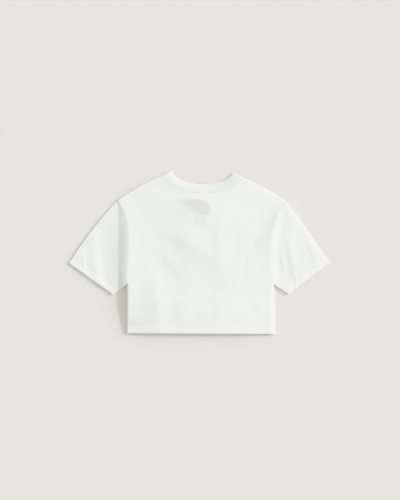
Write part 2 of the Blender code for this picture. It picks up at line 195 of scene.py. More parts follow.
class Net:
    # one material's or the world's node tree
    def __init__(self, owner):
        owner.use_nodes = True
        self.tree = owner.node_tree
        self.tree.nodes.clear()

    def node(self, kind, settings=None, values=None, output=0):
        # adds a node: settings first, then the values or links of its sockets; returns one output
        made = self.tree.nodes.new(kind)
        for name, value in (settings or {}).items():
            setattr(made, name, value)
        for name, value in (values or {}).items():
            socket = made.inputs[name]
            if isinstance(value, Wire):
                self.tree.links.new(value.socket, socket)
            else:
                socket.default_value = value
        return Wire(self, made.outputs[output]) if made.outputs else None

    def split(self, vector):
        first = self.node("ShaderNodeSeparateXYZ", {}, {0: vector})
        return [Wire(self, output) for output in first.socket.node.outputs]

    def noise(self, vector, scale, detail=3.0):
        values = {"Vector": vector, "Scale": scale, "Detail": detail, "Roughness": 0.55}
        return self.node("ShaderNodeTexNoise", {}, values)

    def mix(self, share, first, second):
        # colours; sockets 6 and 7 are a Mix node's colour inputs, and output 2 its colour
        values = {0: share, 6: first, 7: second}
        return self.node("ShaderNodeMix", {"data_type": "RGBA"}, values, output=2)

    def place(self):
        return self.node("ShaderNodeTexCoord", output="Object")

    def clothPlace(self):
        return self.node("ShaderNodeUVMap", {"uv_map": "cloth"})

    def bump(self, height, distance):
        return self.node("ShaderNodeBump", {}, {"Height": height, "Distance": distance, "Strength": 1.0})

    def surface(self, values):
        # a Principled shader on the material's output
        shader = self.node("ShaderNodeBsdfPrincipled", {}, values)
        self.node("ShaderNodeOutputMaterial", {}, {"Surface": shader})


def newFinish(name):
    material = bpy.data.materials.new(name)
    return material, Net(material)


def makeWorld(p):
    # a sky that pales towards the horizon, where it meets the floor's own colour
    world = bpy.data.worlds.new("studio")
    bpy.context.scene.world = world
    net = Net(world)
    up = net.split(net.node("ShaderNodeTexCoord", output="Generated"))[2]
    colour = net.mix(up.step(0.0, p["skyRise"]), p["horizon"], p["overhead"])
    light = net.node("ShaderNodeBackground", {}, {"Color": colour, "Strength": 1.0})
    net.node("ShaderNodeOutputWorld", {}, {"Surface": light})


def makeFloor(p):
    # a wide disc, just under the shirt
    turn = np.linspace(0, 2 * math.pi, p["floorPoints"], endpoint=False)
    rim = np.stack([np.cos(turn), np.sin(turn), 0 * turn], 1) * p["floorRadius"]
    mesh = bpy.data.meshes.new("floor")
    mesh.from_pydata((rim + (0, 0, p["floorZ"])).tolist(), [], [list(range(len(turn)))])
    floor = addObject("floor", mesh)
    paint, net = newFinish("floorPaint")
    net.surface({"Base Color": p["floorColour"], "Roughness": 1.0, "Specular IOR Level": 0.0})
    mesh.materials.append(paint)


makeWorld(picture)
makeFloor(picture)
print("picture: camera, floor, sky and key lamps")


# The shirt's plan: corners and rounded edges, and the curves of its seams

plan = {
    "corners": {
        # corner: left (x, y), right (x, y), seen from above
        "hemCorner": ((-0.2124, -0.2382), (0.2227, -0.2406)),
        "armpit": ((-0.2130, -0.0948), (0.2204, -0.0960)),
        "cuffFoot": ((-0.2543, -0.1240), (0.2631, -0.1232)),
        "cuffTop": ((-0.3835, -0.0317), (0.3835, -0.0317)),
        "shoulderTip": ((-0.2419, 0.1530), (0.2522, 0.1512)),
        "bandFoot": ((-0.1047, 0.2279), (0.1210, 0.2220)),
        "neckTip": ((-0.0811, 0.2406), (0.0988, 0.2338)),
    },
    "edges": {
        # edge: from, to, how far it bows out on the left and on the right
        "bodySide": ("hemCorner", "armpit", (0.0, 0.0)),
        "underarm": ("armpit", "cuffFoot", (0.0, 0.0)),
        "sleeveFold": ("cuffTop", "shoulderTip", (0.0052, 0.0022)),
        "shoulder": ("shoulderTip", "bandFoot", (0.0045, 0.0038)),
        "bandEnd": ("bandFoot", "neckTip", (0.0, 0.0)),
    },
    "pulls": {
        # a seam's cubic curve: its two inner points
        "neckInsideBack": ((-0.063, 0.190), (0.074, 0.186)),
        "neckSeamBack": ((-0.093, 0.158), (0.107, 0.154)),
        "neckInsideFront": ((-0.062, 0.112), (0.080, 0.108)),
        "neckSeamFront": ((-0.084, 0.080), (0.104, 0.078)),
        "armholeBack": (((-0.185, 0.063), (-0.222, -0.021)), ((0.230, 0.107), (0.200, 0.042))),
        "armholeFront": (((-0.176, 0.060), (-0.212, -0.022)), ((0.222, 0.104), (0.190, 0.040))),
    },
    "routePoints": 48,
    "seamLength": 0.25,  # about how long the armholes and the neck seam are, for spacing a grid's rows
}

cloth = {
    "jersey": 0.00065,
    "rib": 0.0011,
    "label": 0.0007,
    "seamGap": 0.0001,
    "cornerGap": 0.0003,
    "labelGap": 0.0003,
    "hemDepth": 0.022,
    "cuffDepth": 0.020,
    "hemStep": 0.0015,
    "bandRise": 0.0001,  # the neckband stands this proud of the back
    "probe": 0.0004,  # half the distance over which slopes are taken
}


def smooth(share):
    # 3 t^2 - 2 t^3, level at both ends
    t = np.clip(share, 0, 1)
    return t * t * (3 - 2 * t)


def between(value, limits):
    # from 0 at the first limit to 1 at the second
    return smooth((value - limits[0]) / (limits[1] - limits[0]))


def softStart(share, softness):
    # a share between 0 and 1 that begins softly: (s + sqrt(s^2 + softness^2)) / 2
    return np.clip((share + np.sqrt(share**2 + softness**2)) / 2, 0, 1)


def bell(distance, width, power=2.0):
    # exp(-|distance / width|^power)
    return np.exp(-np.abs(distance / width) ** power)


def softTable(x, xs, ys):
    # a smooth curve through a table's points: cubics that take each point's slope from its neighbours
    xs, ys = np.asarray(xs, float), np.asarray(ys, float)
    slopes = np.gradient(ys, xs)
    x = np.clip(x, xs[0], xs[-1])
    at = np.clip(np.searchsorted(xs, x) - 1, 0, len(xs) - 2)
    width = xs[at + 1] - xs[at]
    t = (x - xs[at]) / width
    rise = ys[at] * (1 - t) ** 2 * (1 + 2 * t) + ys[at + 1] * t**2 * (3 - 2 * t)
    return rise + width * (slopes[at] * t * (1 - t) ** 2 - slopes[at + 1] * t**2 * (1 - t))


def direction(start, end):
    # the way from start to end and the way to its left, each of length one
    along = (end - start) / np.hypot(*(end - start))
    return along, np.array((-along[1], along[0]))


def straight(start, end, bow=0.0):
    # a run from start to end that bows out to its left as a parabola
    side = direction(start, end)[1]

    def run(share):
        t = np.asarray(share, float)[:, None]
        return start + (end - start) * t + side * bow * 4 * t * (1 - t)

    return run


def cubic(start, pulls, end):
    # a smooth curve drawn towards two inner points, which weigh 3 s^2 t and 3 s t^2, where s is 1 - t
    first, second = (np.array(pull) for pull in pulls)

    def run(share):
        t = np.asarray(share, float)[:, None]
        s = 1 - t
        return start * s**3 + 3 * first * s**2 * t + 3 * second * s * t**2 + end * t**3

    return run


def backwards(run):
    # the same run from its end to its start
    return lambda share: run(1 - np.asarray(share, float))


def inTurn(runs, marks):
    # several runs as one, where each ends at its mark
    marks = (0.0, *marks, 1.0)

    def run(share):
        share = np.asarray(share, float)
        found = np.zeros((len(share), 2))
        for part, low, high in zip(runs, marks, marks[1:]):
            here = (share >= low) & (share <= high)
            found[here] = part((share[here] - low) / (high - low))
        return found

    return run


def corner(name, side):
    return np.array(plan["corners"][name][side])


def edge(name, side):
    # one of the shirt's rounded edges, bowed outwards
    start, end, bows = plan["edges"][name]
    return straight(corner(start, side), corner(end, side), -bows[side] * outward[side])


def armhole(side, layer):
    # from the armpit up to the shoulder's tip
    pulls = plan["pulls"][f"armhole{layer}"][side]
    return backwards(cubic(corner("shoulderTip", side), pulls, corner("armpit", side)))


def neckLine(name, layer):
    # the neckband's inside edge or its seam, from left to right
    end = "neckTip" if name == "Inside" else "bandFoot"
    return cubic(corner(end, left), plan["pulls"][f"neck{name}{layer}"], corner(end, right))


def nearLine(points, line, reach):
    # the points within reach of a line of short straight pieces, and for each its distance, left hand
    # positive, its place along the line as a share, and how far it lies past the line's ends
    low, high = line.min(0) - reach, line.max(0) + reach
    near = np.flatnonzero(((points > low) & (points < high)).all(1))
    start, along = line[:-1], np.diff(line, axis=0)
    length = np.hypot(along[:, 0], along[:, 1])
    run = np.concatenate([[0], np.cumsum(length)])
    offset = points[near][:, None] - start
    share = (offset * along).sum(2) / length**2
    held = np.clip(share, 0, 1)
    way = offset - along * held[..., None]
    gap = np.hypot(way[..., 0], way[..., 1])
    best = gap.argmin(1)
    every = np.arange(len(near))
    unit = along[best] / length[best][:, None]
    offset = offset[every, best]
    hand = unit[:, 0] * offset[:, 1] - unit[:, 1] * offset[:, 0]
    far = share[every, best]
    past = np.where(best == 0, np.maximum(0, -far), 0)
    past = (past + np.where(best == len(length) - 1, np.maximum(0, far - 1), 0)) * length[best]
    across = np.where(past > 0, np.abs(hand), gap[every, best])
    place = (run[best] + held[every, best] * length[best]) / run[-1]
    return near, across * np.sign(hand + tiny), place, past


def lineGap(points, line, reach=0.02):
    # plain distance to a line, no more than reach
    near, across, _, past = nearLine(points, line, reach)
    found = np.full(len(points), float(reach))
    found[near] = np.minimum(np.hypot(across, past), reach)
    return found


def nearestEdge(points, names=tuple(plan["edges"])):
    # distance to the nearest of these edges on both sides, the way to it, and that edge's way out
    share = np.linspace(0, 1, plan["routePoints"])
    nearest = np.full(len(points), np.inf)
    way, normal = np.zeros((len(points), 2)), np.zeros((len(points), 2))
    for side in (left, right):
        for name in names:
            line = edge(name, side)(share)
            along = np.diff(line, axis=0)
            square = (along**2).sum(1)
            held = np.clip(((points[:, None] - line[:-1]) * along).sum(2) / square, 0, 1)
            reach = line[:-1] + along * held[..., None] - points[:, None]
            gap = np.hypot(reach[..., 0], reach[..., 1])
            best = gap.argmin(1)
            gap = gap[np.arange(len(points)), best]
            out = np.stack([along[:, 1], -along[:, 0]], 1) * outward[side] / np.sqrt(square)[:, None]
            closer = gap < nearest
            nearest[closer] = gap[closer]
            toEdge = reach[np.arange(len(points)), best] / np.maximum(gap, tiny)[:, None]
            way[closer] = toEdge[closer]
            normal[closer] = out[best][closer]
    return nearest, way, normal


# Folds: soft ridges and troughs

foldColumns = ("route", "heights", "leftWidth", "rightWidth", "power")
foldPower = 2.0  # where a row gives none
foldSteps = 9  # straight pieces between two points of a route
foldReach = 2.6  # how many of its widths away a fold still counts


def softRoute(points):
    # a smooth line through a route's points
    points = np.asarray(points, float) * mm
    if len(points) == 2:
        return points
    at = np.arange(len(points))
    fine = np.linspace(0, len(points) - 1, (len(points) - 1) * foldSteps + 1)
    return np.stack([softTable(fine, at, points[:, axis]) for axis in (0, 1)], 1)


def foldHeights(points, folds):
    # each fold runs along its route; across it falls as exp(-|s / width|^power), unlike on its two
    # hands; its height runs smoothly through the given ones, and its ends are round
    total = np.zeros(len(points))
    for row in folds:
        fold = {"power": foldPower, **dict(zip(foldColumns, row))}
        wide = max(fold["leftWidth"], fold["rightWidth"]) * mm
        line = softRoute(fold["route"])
        near, across, place, past = nearLine(points, line, foldReach * wide)
        width = np.where(across > 0, fold["leftWidth"], fold["rightWidth"]) * mm
        marks = np.linspace(0, 1, len(fold["heights"]))
        height = softTable(place, marks, fold["heights"]) * mm
        total[near] += height * bell(across, width, fold["power"]) * bell(past, wide)
    return total


waves = {"seed": 7, "count": 24, "longest": 0.110, "shortest": 0.030, "height": 0.00003}


def clothWaves(points):
    # a faint unevenness: many plane waves of unlike length, heading and phase, the long ones highest
    draw = np.random.default_rng(waves["seed"])
    total = np.zeros(len(points))
    for _ in range(waves["count"]):
        length = draw.uniform(waves["shortest"], waves["longest"])
        turn, phase = draw.uniform(0, math.pi), draw.uniform(0, 2 * math.pi)
        along = points @ np.array((math.cos(turn), math.sin(turn)))
        share = length / waves["longest"]
        total += waves["height"] * share * np.sin(2 * math.pi * along / length + phase)
    return total


# Height of the upper cloth above the floor

heights = {
    # over the back's middle and over its two armholes and sides. A side's lift fades inwards over the
    # reach, beginning so far (level) inside the side; the left one is lifted by the sleeve's cloth
    # under it, and rolls over towards the sleeve from so far inside the seam
    "columns": (
        "y", "middle", "leftSeam", "leftLevel", "leftReach", "leftRoll", "rightSeam", "rightLevel",
        "rightReach", "rightRoll",
    ),
    "rows": (
        (-241, 6.0, 4.6, 0, 50, 0, 4.9, 0, 120, 0),
        (-218, 6.8, 5.6, 0, 60, 0, 5.2, 0, 140, 0),
        (-176, 7.2, 9.2, 0, 70, 0, 5.4, 0, 150, 0),
        (-129, 7.4, 12.0, 0, 96, 0, 5.6, 0, 140, 0),
        (-96, 7.4, 11.6, 0, 110, 1, 6.1, 0, 110, 2),
        (-46, 7.4, 10.8, 0, 110, 5, 7.5, 16, 80, 4),
        (0, 7.4, 10.3, 0, 104, 4, 8.8, 14, 48, 5),
        (57, 7.1, 9.2, 0, 80, 4, 9.1, 4, 38, 4),
        (102, 6.1, 6.8, 0, 60, 7, 8.0, 0, 26, 3),
        (153, 4.4, 3.7, 0, 90, 2, 4.8, 0, 30, 0),
        (200, 2.9, 2.6, 0, 110, 0, 3.3, 0, 26, 0),
    ),
    "fadePower": 1.2,
    "flankPower": 1.5,
    "flankFrom": 0.15,  # it begins further out than this
    "flankLeast": 0.002,  # and is no narrower than this
    "fadeSoftness": 0.12,
    # the back's broad rise, as shares of its height from side to side and from hem to neck
    "dome": 2.6,
    "domeAcross": (
        (-240, 0), (-130, 0), (-85, 0.12), (-30, 0.72), (30, 0.95), (64, 1), (110, 0.72), (160, 0.36),
        (200, 0.1), (240, 0),
    ),
    "domeUp": (
        (-240, 0.62), (-200, 0.88), (-120, 0.94), (0, 1), (60, 1), (110, 0.86), (150, 0.45), (190, 0.05),
    ),
    # the crease where each sleeve comes up from under the seam
    "creaseColumns": ("y", "leftX", "rightX", "leftLip", "rightLip"),
    "crease": (
        (-115, -236.0, 239.0, 1.2, 0),
        (-65, -238.5, 231.6, 1.7, 0),
        (-6, -238.5, 229.8, 1.6, 0),
        (35, -237.5, 234.5, 1.2, 0),
        (88, -236.5, 245.4, 0.7, 0),
        (145, -238.0, 257.0, 0.1, 0),
    ),
    "lipReach": 24,  # the crease's lip is raised, and the sleeve falls away from it
    "creaseEnds": (0.03, 0.40),  # where it meets the sleeve's fold and underarm, as shares
    "creaseSoftness": 0.11,
    "sleeve": (2.3, 6.3),  # beside the crease
    "cuff": (2.9, 2.9),
    "cuffReach": (0.090, 0.150),
    # the neckband's inside edge lies low, and a little higher at the tips, where it is folded
    "bandEdge": 1.5,
    "bandTip": 0.8,
    "bandTipReach": 24,
    "bandLines": 120,  # points along the neckband's two edges
    "bandReach": 0.06,
}

bodyFolds = (
    # route, heights, width on the left hand and on the right, power
    (((-118, 86), (-52, 40), (40, -16)), (0.7, 1.2, 0.6), 42, 26),
    (((-148, 40), (-72, -40), (-31, -108)), (0.4, 0.8, 0.4), 34, 20),
    (((62, 66), (64, -20), (84, -80)), (0.3, 0.4, 0.3), 36, 20),
    (((-134, -50), (-127, -108), (-122, -158), (-118, -190)), (0.7, 3.0, 2.6, 0.8), 56, 40, 1.5),
    (((-140, -110), (-126, -164), (-115, -212), (-110, -243)), (0.4, 2.3, 2.4, 1.9), 116, 56, 1.5),
    # the right shoulder lies lower at its edge
    (((250, 152), (186, 190), (124, 221)), (-0.7, -1.0, -0.4), 12, 12),
    (((-62, -128), (-52, -160), (-48, -200)), (0.3, 0.6, 0.4), 22, 24),
    (((-40, 175), (-52, 130), (-60, 90)), (1.1, 1.4, 0.5), 60, 90),
    # the right side rolls over towards its edge
    (((224, -98), (225, -170), (226, -246)), (-1.2, -1.4, -1.4), 9, 9),
)

sleeveFolds = (
    # the right sleeve lies lower along its fold
    (((250, 152), (322, 64), (383, -31)), (-0.7, -1.0, 0.0), 10, 10),
    (((284, 112), (330, 52), (383, -31)), (0.0, -1.9, 0.0), 38, 38),
    (((-322, 98), (-310, 30), (-303, -40), (-292, -98)), (0.2, 0.6, 0.9, 0.7), 13, 20),
    (((-352, 26), (-346, -20), (-343, -52)), (0.2, 0.4, 0.3), 16, 18),
    (((262, 136), (269, 100), (277, 60)), (0.15, 0.3, 0.1), 12, 8),
    (((259, 54), (269, 4), (278, -40), (286, -80)), (0.2, 0.6, 0.8, 0.6), 15, 10),
    (((240, 10), (245, -20), (252, -52)), (0.1, 0.4, 0.2), 7, 6),
    (((310, 88), (328, 28), (340, -14), (343, -36)), (0.2, 0.6, 0.8, 0.4), 18, 12),
)


def tableAt(y, rows, columns, name):
    # a column of a table in millimetres, read at these y
    at = columns.index(name)
    return softTable(y / mm, [row[0] for row in rows], [row[at] for row in rows]) * mm


def cuffGap(points, side):
    # how far a point is from the cuff's edge
    start = corner("cuffTop", side)
    return np.abs((points - start) @ direction(start, corner("cuffFoot", side))[1])


def seamOuts(y, side):
    # how far out the armhole's back seam and the body's side lie at these y
    share = np.linspace(0, 1, plan["routePoints"] * 2)
    seam, sideEdge = armhole(side, "Back")(share), edge("bodySide", side)(share)
    seamOut = np.interp(y, seam[:, 1], outward[side] * seam[:, 0])
    edgeOut = np.interp(y, sideEdge[:, 1], outward[side] * sideEdge[:, 0])
    return np.where(y > corner("armpit", side)[1], seamOut, edgeOut)


def bodyLift(points):
    # the middle's height and rise, and each side's lift, which fades inwards as (1 - share)^power
    x, y = points.T
    h = heights
    domes = ((x, "domeAcross"), (y, "domeUp"))
    across, up = (softTable(at / mm, *np.transpose(h[name])) for at, name in domes)
    middle = tableAt(y, h["rows"], h["columns"], "middle")
    found = middle + h["dome"] * mm * across * up
    for side, name in enumerate(("left", "right")):
        seam, level, reach = (
            tableAt(y, h["rows"], h["columns"], f"{name}{kind}") for kind in ("Seam", "Level", "Reach")
        )
        inside = softStart((seamOuts(y, side) - outward[side] * x - level) / reach, h["fadeSoftness"])
        found += (seam - middle) * (1 - inside) ** h["fadePower"]
    return found


def flank(points, side, name):
    # how far down the flank from a side's crest to the sleeve's crease each point lies, as a share,
    # and the heights at its top and at its foot
    h = heights
    x, y = points.T
    top = np.maximum(y, corner("armpit", side)[1])
    seamOut = seamOuts(top, side)
    crestOut = seamOut - tableAt(top, h["rows"], h["columns"], f"{name}Roll")
    creaseOut = outward[side] * tableAt(y, h["crease"], h["creaseColumns"], f"{name}X")
    out = outward[side] * x
    down = (out - crestOut) / np.maximum(creaseOut - crestOut, h["flankLeast"])
    seam = np.stack([outward[side] * seamOut, top], 1)
    high = bodyLift(seam) + foldHeights(seam, bodyFolds)
    cuff = 1 - np.clip(cuffGap(points, side) / h["cuffReach"][side], 0, 1)
    low = (h["sleeve"][side] + (h["cuff"][side] - h["sleeve"][side]) * cuff) * mm
    lip = tableAt(y, h["crease"], h["creaseColumns"], f"{name}Lip")
    low += lip * bell(np.maximum(out - creaseOut, 0), h["lipReach"] * mm)
    return down, high, low


def bodyForm(points):
    # the body's lift, which rolls over beside an armhole as a power of the share
    found = bodyLift(points)
    for side, name in enumerate(("left", "right")):
        near = np.flatnonzero(outward[side] * points[:, 0] > heights["flankFrom"])
        down, high, low = flank(points[near], side, name)
        found[near] -= (high - low) * np.clip(down, 0, 1) ** heights["flankPower"]
    return found


def sleeveForm(points):
    # the flank down to the crease, which is a little softened, then low, and lower at the cuff
    found = np.zeros(len(points))
    for side, name in enumerate(("left", "right")):
        near = np.flatnonzero(outward[side] * points[:, 0] > 0)
        down, high, low = flank(points[near], side, name)
        up = softStart(1 - down, heights["creaseSoftness"])
        found[near] = high - (high - low) * (1 - up) ** heights["flankPower"]
    return found


def bandForm(points):
    # as the body beside the seam, then down to the inside edge as the cube of the way across
    h = heights
    share = np.linspace(0, 1, h["bandLines"])
    lines = (neckLine(name, "Back")(share) for name in ("Seam", "Inside"))
    toSeam, toEdge = (lineGap(points, line, h["bandReach"]) for line in lines)
    across = toSeam / np.maximum(toSeam + toEdge, tiny)
    tips = np.min([np.hypot(*(points - corner("neckTip", side)).T) for side in (left, right)], axis=0)
    edgeHeight = (h["bandEdge"] + h["bandTip"] * bell(tips, h["bandTipReach"] * mm)) * mm
    top = bodyForm(points) + foldHeights(points, bodyFolds) + cloth["bandRise"]
    return top + (edgeHeight - top) * np.clip(across, 0, 1) ** 3


def formHeight(points, part):
    # how high the upper cloth lies above the floor, without its small relief
    if part == "sleeve":
        return sleeveForm(points) + foldHeights(points, sleeveFolds)
    if part == "band":
        return bandForm(points)
    return bodyForm(points) + foldHeights(points, bodyFolds)


def outerFace(points, upper, part, relief, onEdge=None, ownEdges=None):
    # the outer face over plan points: its points with and without relief, and its normals.
    # A rounded edge is half a circle across, as high as the cloth lies there
    high = formHeight(points, part)
    slope = []
    for probe in np.eye(2) * cloth["probe"]:
        rise = formHeight(points + probe, part) - formHeight(points - probe, part)
        slope.append(rise / (2 * cloth["probe"]))
    slope = np.stack(slope, 1)
    gap, out, _ = nearestEdge(points)
    if onEdge is not None:
        gap[onEdge] = 0
        out[onEdge] = nearestEdge(points[onEdge], ownEdges)[2]
    radius = high / 2
    sideOn = np.clip(1 - gap / radius, 0, 1)[:, None]
    faceOn = np.sqrt(1 - sideOn**2)
    if upper:
        z = radius + radius * faceOn[:, 0]
        normal = np.concatenate([out * sideOn - slope * faceOn, faceOn], 1)
    else:
        z = radius - radius * faceOn[:, 0]
        normal = np.concatenate([out * sideOn, -faceOn], 1)
    normal /= np.linalg.norm(normal, axis=1)[:, None]
    form = np.concatenate([points, z[:, None]], 1)
    raised = form.copy()
    raised[:, 2] += relief * faceOn[:, 0]
    return raised, form, normal


rimShare = 0.8  # how much of its thickness a wall keeps at its very rim
rimReach = 0.004
edgeSteps = np.array((0.0, 0.15, 0.4, 0.8, 1.4, 2.2, 3.2, 4.6, 6.6)) * mm  # rows beside a rim
drawSteps = 3


def rimsOf(grid):
    # a grid's four edges: first and last row, first and last column
    return [grid[0], grid[-1], grid[:, 0], grid[:, -1]]


def outlineOf(grid):
    # once round a grid, from its first point to the one before it
    return np.concatenate([grid[0, :-1], grid[:-1, -1], grid[-1, :0:-1], grid[:0:-1, 0]])


def wallFaces(grid, upper, part, thick, relief, rims, onEdge=None, ownEdges=None, depth=0.0):
    # the outer and inner face of a wall over a grid of plan points, so deep under the cloth; towards
    # each rim its faces close in on each other in a half circle. The lower cloth's inner face follows
    # its relief
    shape = grid.shape[:2]
    points = grid.reshape(-1, 2)
    onEdge = None if onEdge is None else onEdge.reshape(-1)
    raised, form, normal = outerFace(points, upper, part, relief, onEdge, ownEdges)
    half = np.broadcast_to(thick, shape).reshape(-1) / 2
    gap = np.min([lineGap(points, rim, rimReach) for rim in rims], axis=0)
    full = np.maximum(np.sqrt(1 - (1 - np.clip(gap / half, 0, 1)) ** 2), rimShare)
    outer = raised - normal * (depth + half * (1 - full))[:, None]
    inner = (form if upper else raised) - normal * (depth + half * (1 + full))[:, None]
    return outer.reshape(*shape, 3), inner.reshape(*shape, 3)


def graded(length, cell):
    # shares of a run that is so long: fine steps beside both ends, even cells between
    fine = edgeSteps / length
    cells = max(2, round((length - 2 * edgeSteps[-1]) / cell))
    return np.concatenate([fine[:-1], np.linspace(fine[-1], 1 - fine[-1], cells + 1), 1 - fine[-2::-1]])


def drawBack(grid, rows, columns, step, gap):
    # moves these points of a grid by the gap, towards the point that is a few such steps away
    rows, columns = np.broadcast_arrays(rows, columns)
    way = grid[rows + drawSteps * step[0], columns + drawSteps * step[1]] - grid[rows, columns]
    length = np.hypot(way[..., 0], way[..., 1])
    grid[rows, columns] += way / length[..., None] * gap


def freeTube(grid, row, step):
    # draws the sewn row of a flattened tube back from its seam, and tells which points lie on its folds
    ends = np.array((0, grid.shape[1] - 1))
    drawBack(grid, row, np.arange(1, ends[1]), (step, 0), cloth["seamGap"] / 2)
    drawBack(grid, row, ends, (step, 0), cloth["cornerGap"])
    onEdge = np.zeros(grid.shape[:2], bool)
    onEdge[:, ends] = True
    return onEdge


def addPiece(name, points, faces, uv, finish):
    # a mesh object from points and lists of corners; uv has a pair for each corner of each face
    mesh = bpy.data.meshes.new(name)
    mesh.from_pydata(points.tolist(), [], faces)
    layer = mesh.uv_layers.new(name="cloth")
    layer.data.foreach_set("uv", np.ascontiguousarray(uv, np.float32).reshape(-1))
    mesh.shade_smooth()
    mesh.materials.append(finish)
    piece = addObject(name, mesh)
    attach(piece, "root")
    return piece


def addWall(name, outer, inner, uv, finish, outwards, closed=False):
    # a wall between two faces that are grids of one size; closed joins the last column to the first.
    # uv is a grid with one column more where the wall is closed
    rows, columns = outer.shape[:2]
    index = np.arange(rows * columns).reshape(rows, columns)
    place = np.arange(uv.shape[0] * uv.shape[1]).reshape(uv.shape[:2])
    if closed:
        index = np.concatenate([index, index[:, :1]], 1)
        rims = [(index[0], place[0]), (index[-1, ::-1], place[-1, ::-1])]
    else:
        rims = [[np.concatenate([outlineOf(g), g[:1, 0]]) for g in (index, place)]]

    def cells(g):
        return np.stack([g[:-1, :-1], g[:-1, 1:], g[1:, 1:], g[1:, :-1]], -1).reshape(-1, 4)

    under = rows * columns
    faces, corners = [cells(index)], [cells(place)]
    faces.append(faces[0][:, ::-1] + under)
    corners.append(corners[0][:, ::-1])
    for rim, spot in rims:
        faces.append(np.stack([rim[1:], rim[:-1], rim[:-1] + under, rim[1:] + under], -1))
        corners.append(np.stack([spot[1:], spot[:-1], spot[:-1], spot[1:]], -1))
    faces, corners = np.concatenate(faces), np.concatenate(corners)
    if not outwards:
        faces, corners = faces[:, ::-1], corners[:, ::-1]
    points = np.concatenate([outer.reshape(-1, 3), inner.reshape(-1, 3)])
    return addPiece(name, points, faces.tolist(), uv.reshape(-1, 2)[corners], finish)


def joinedRound(walls):
    # the upper and lower faces of a flattened tube as one ring of columns
    (upperOut, upperIn), (lowerOut, lowerIn) = walls
    outer = np.concatenate([upperOut, lowerOut[:, -2:0:-1]], 1)
    inner = np.concatenate([upperIn, lowerIn[:, -2:0:-1]], 1)
    return outer, inner


def planArea(grid):
    # the area that a grid's outline encloses
    x, y = outlineOf(grid).T
    return abs((x * np.roll(y, -1) - y * np.roll(x, -1)).sum()) / 2


# Finishes

jerseyFinish = {
    "colour": (0.821, 0.851, 0.815, 1.0),
    "doubledColour": (0.842, 0.872, 0.838, 1.0),  # two layers let less light through
    "ribColour": (0.784, 0.817, 0.780, 1.0),
    "ghostColour": (0.704, 0.701, 0.645, 1.0),  # where the label shows through
    "wale": 0.00075,  # one column of stitches
    "course": 0.00060,  # one row of them
    "loopSlant": 0.8,  # how far a loop's legs lean, in courses
    "loopDepth": 0.35,
    "stitchBump": 0.00004,
    "fuzzScale": 420.0,
    "fuzzBump": 0.00001,
    "streak": (220.0, 9.0, 220.0),  # how fine the knit's uneven columns are, across and along
    "streakDepth": 0.012,
    "roughness": 0.88,
    "ribRoughness": 0.9,
    "ribMottle": 60.0,
    "ribMottleDepth": 0.2,
    "sheen": 0.12,
    "mottle": (0.3, 0.7),  # the part of a noise's range that a mottle uses
    "bandBlur": 0.0006,  # half the width over which doubled cloth begins
}


def knitHeight(net, u, v, wale, course):
    # columns of V loops: each leg is a slanted ridge, high in its middle
    depth = jerseyFinish["loopDepth"]
    across = abs((u / wale).fraction() - 0.5) * 2.0
    leg = (across * math.pi).sine()
    slant = ((v / course + across * jerseyFinish["loopSlant"]) * (2 * math.pi)).sine()
    return leg * (slant * depth + (1 - depth))


def shade(colour, share):
    # a darker tone of a colour
    return tuple(c * share for c in colour[:3]) + (1.0,)


def knitSurface(net, colour, wale, roughness):
    # knitted loops and a fine fuzz as bump, with the dull sheen of cotton
    f = jerseyFinish
    u, v, _ = net.split(net.clothPlace())
    stitches = knitHeight(net, u, v, wale, f["course"])
    high = stitches * f["stitchBump"] + net.noise(net.place(), f["fuzzScale"]) * f["fuzzBump"]
    net.surface({
        "Base Color": colour,
        "Roughness": roughness,
        "Specular IOR Level": 0.25,
        "Sheen Weight": f["sheen"],
        "Sheen Roughness": 0.6,
        "Normal": net.bump(high, 1.0),
    })


def makeJersey(name, doubledMask=None, ghostMask=None):
    # white single jersey with faint streaks; doubled cloth is a little whiter
    f = jerseyFinish
    material, net = newFinish(name)
    place = net.place()
    drawn = {0: net.clothPlace(), 1: f["streak"]}
    columns = net.node("ShaderNodeVectorMath", {"operation": "MULTIPLY"}, drawn)
    streaks = net.noise(columns, 1.0, 2.0).step(*f["mottle"])
    colour = net.mix(streaks, f["colour"], shade(f["colour"], 1 - f["streakDepth"]))
    if doubledMask:
        colour = net.mix(doubledMask(net, place), colour, f["doubledColour"])
    if ghostMask:
        colour = net.mix(ghostMask(net, place), colour, f["ghostColour"])
    knitSurface(net, colour, f["wale"], f["roughness"])
    return material


def withinBand(distance, depth):
    # 1 up to a band's depth, and 0 beyond it
    blur = jerseyFinish["bandBlur"]
    return 1.0 - distance.step(depth - blur, depth + blur)


def bodyDoubled(net, place):
    # within the turned-up hem
    return withinBand(net.split(place)[1], corner("hemCorner", left)[1] + cloth["hemDepth"])


labelPlaces = {
    # the labels inside the back: middle x, top y, width, height
    "neckLabel": (-0.0110, 0.1590, 0.084, 0.048),
    "sizeTab": (0.0065, 0.1106, 0.038, 0.032),
}


ghost = {
    # the pairs say between which x or y an edge fades. The smudge's two sides also slant: they move
    # by a share of the way down from slantTop
    "slantTop": 0.1423,
    "leftSlant": 0.9,
    "left": (-0.075, -0.009),
    "rightSlant": 0.8,
    "right": (0.002, 0.046),
    "rightEnd": (0.026, 0.040),
    "top": (0.147, 0.163),
    "foot": (0.105, 0.117),
    "paler": (0.114, 0.142),
    "palest": 0.72,
    "tabLeft": (-0.019, -0.009),
    "tabRight": (0.016, 0.028),
    "tabFoot": (0.072, 0.084),
    "tabTop": (0.106, 0.118),
    "tabShare": 0.26,
    "weave": (300.0, 1.3, 0.42),  # how fine it is, how uneven, and its least
}


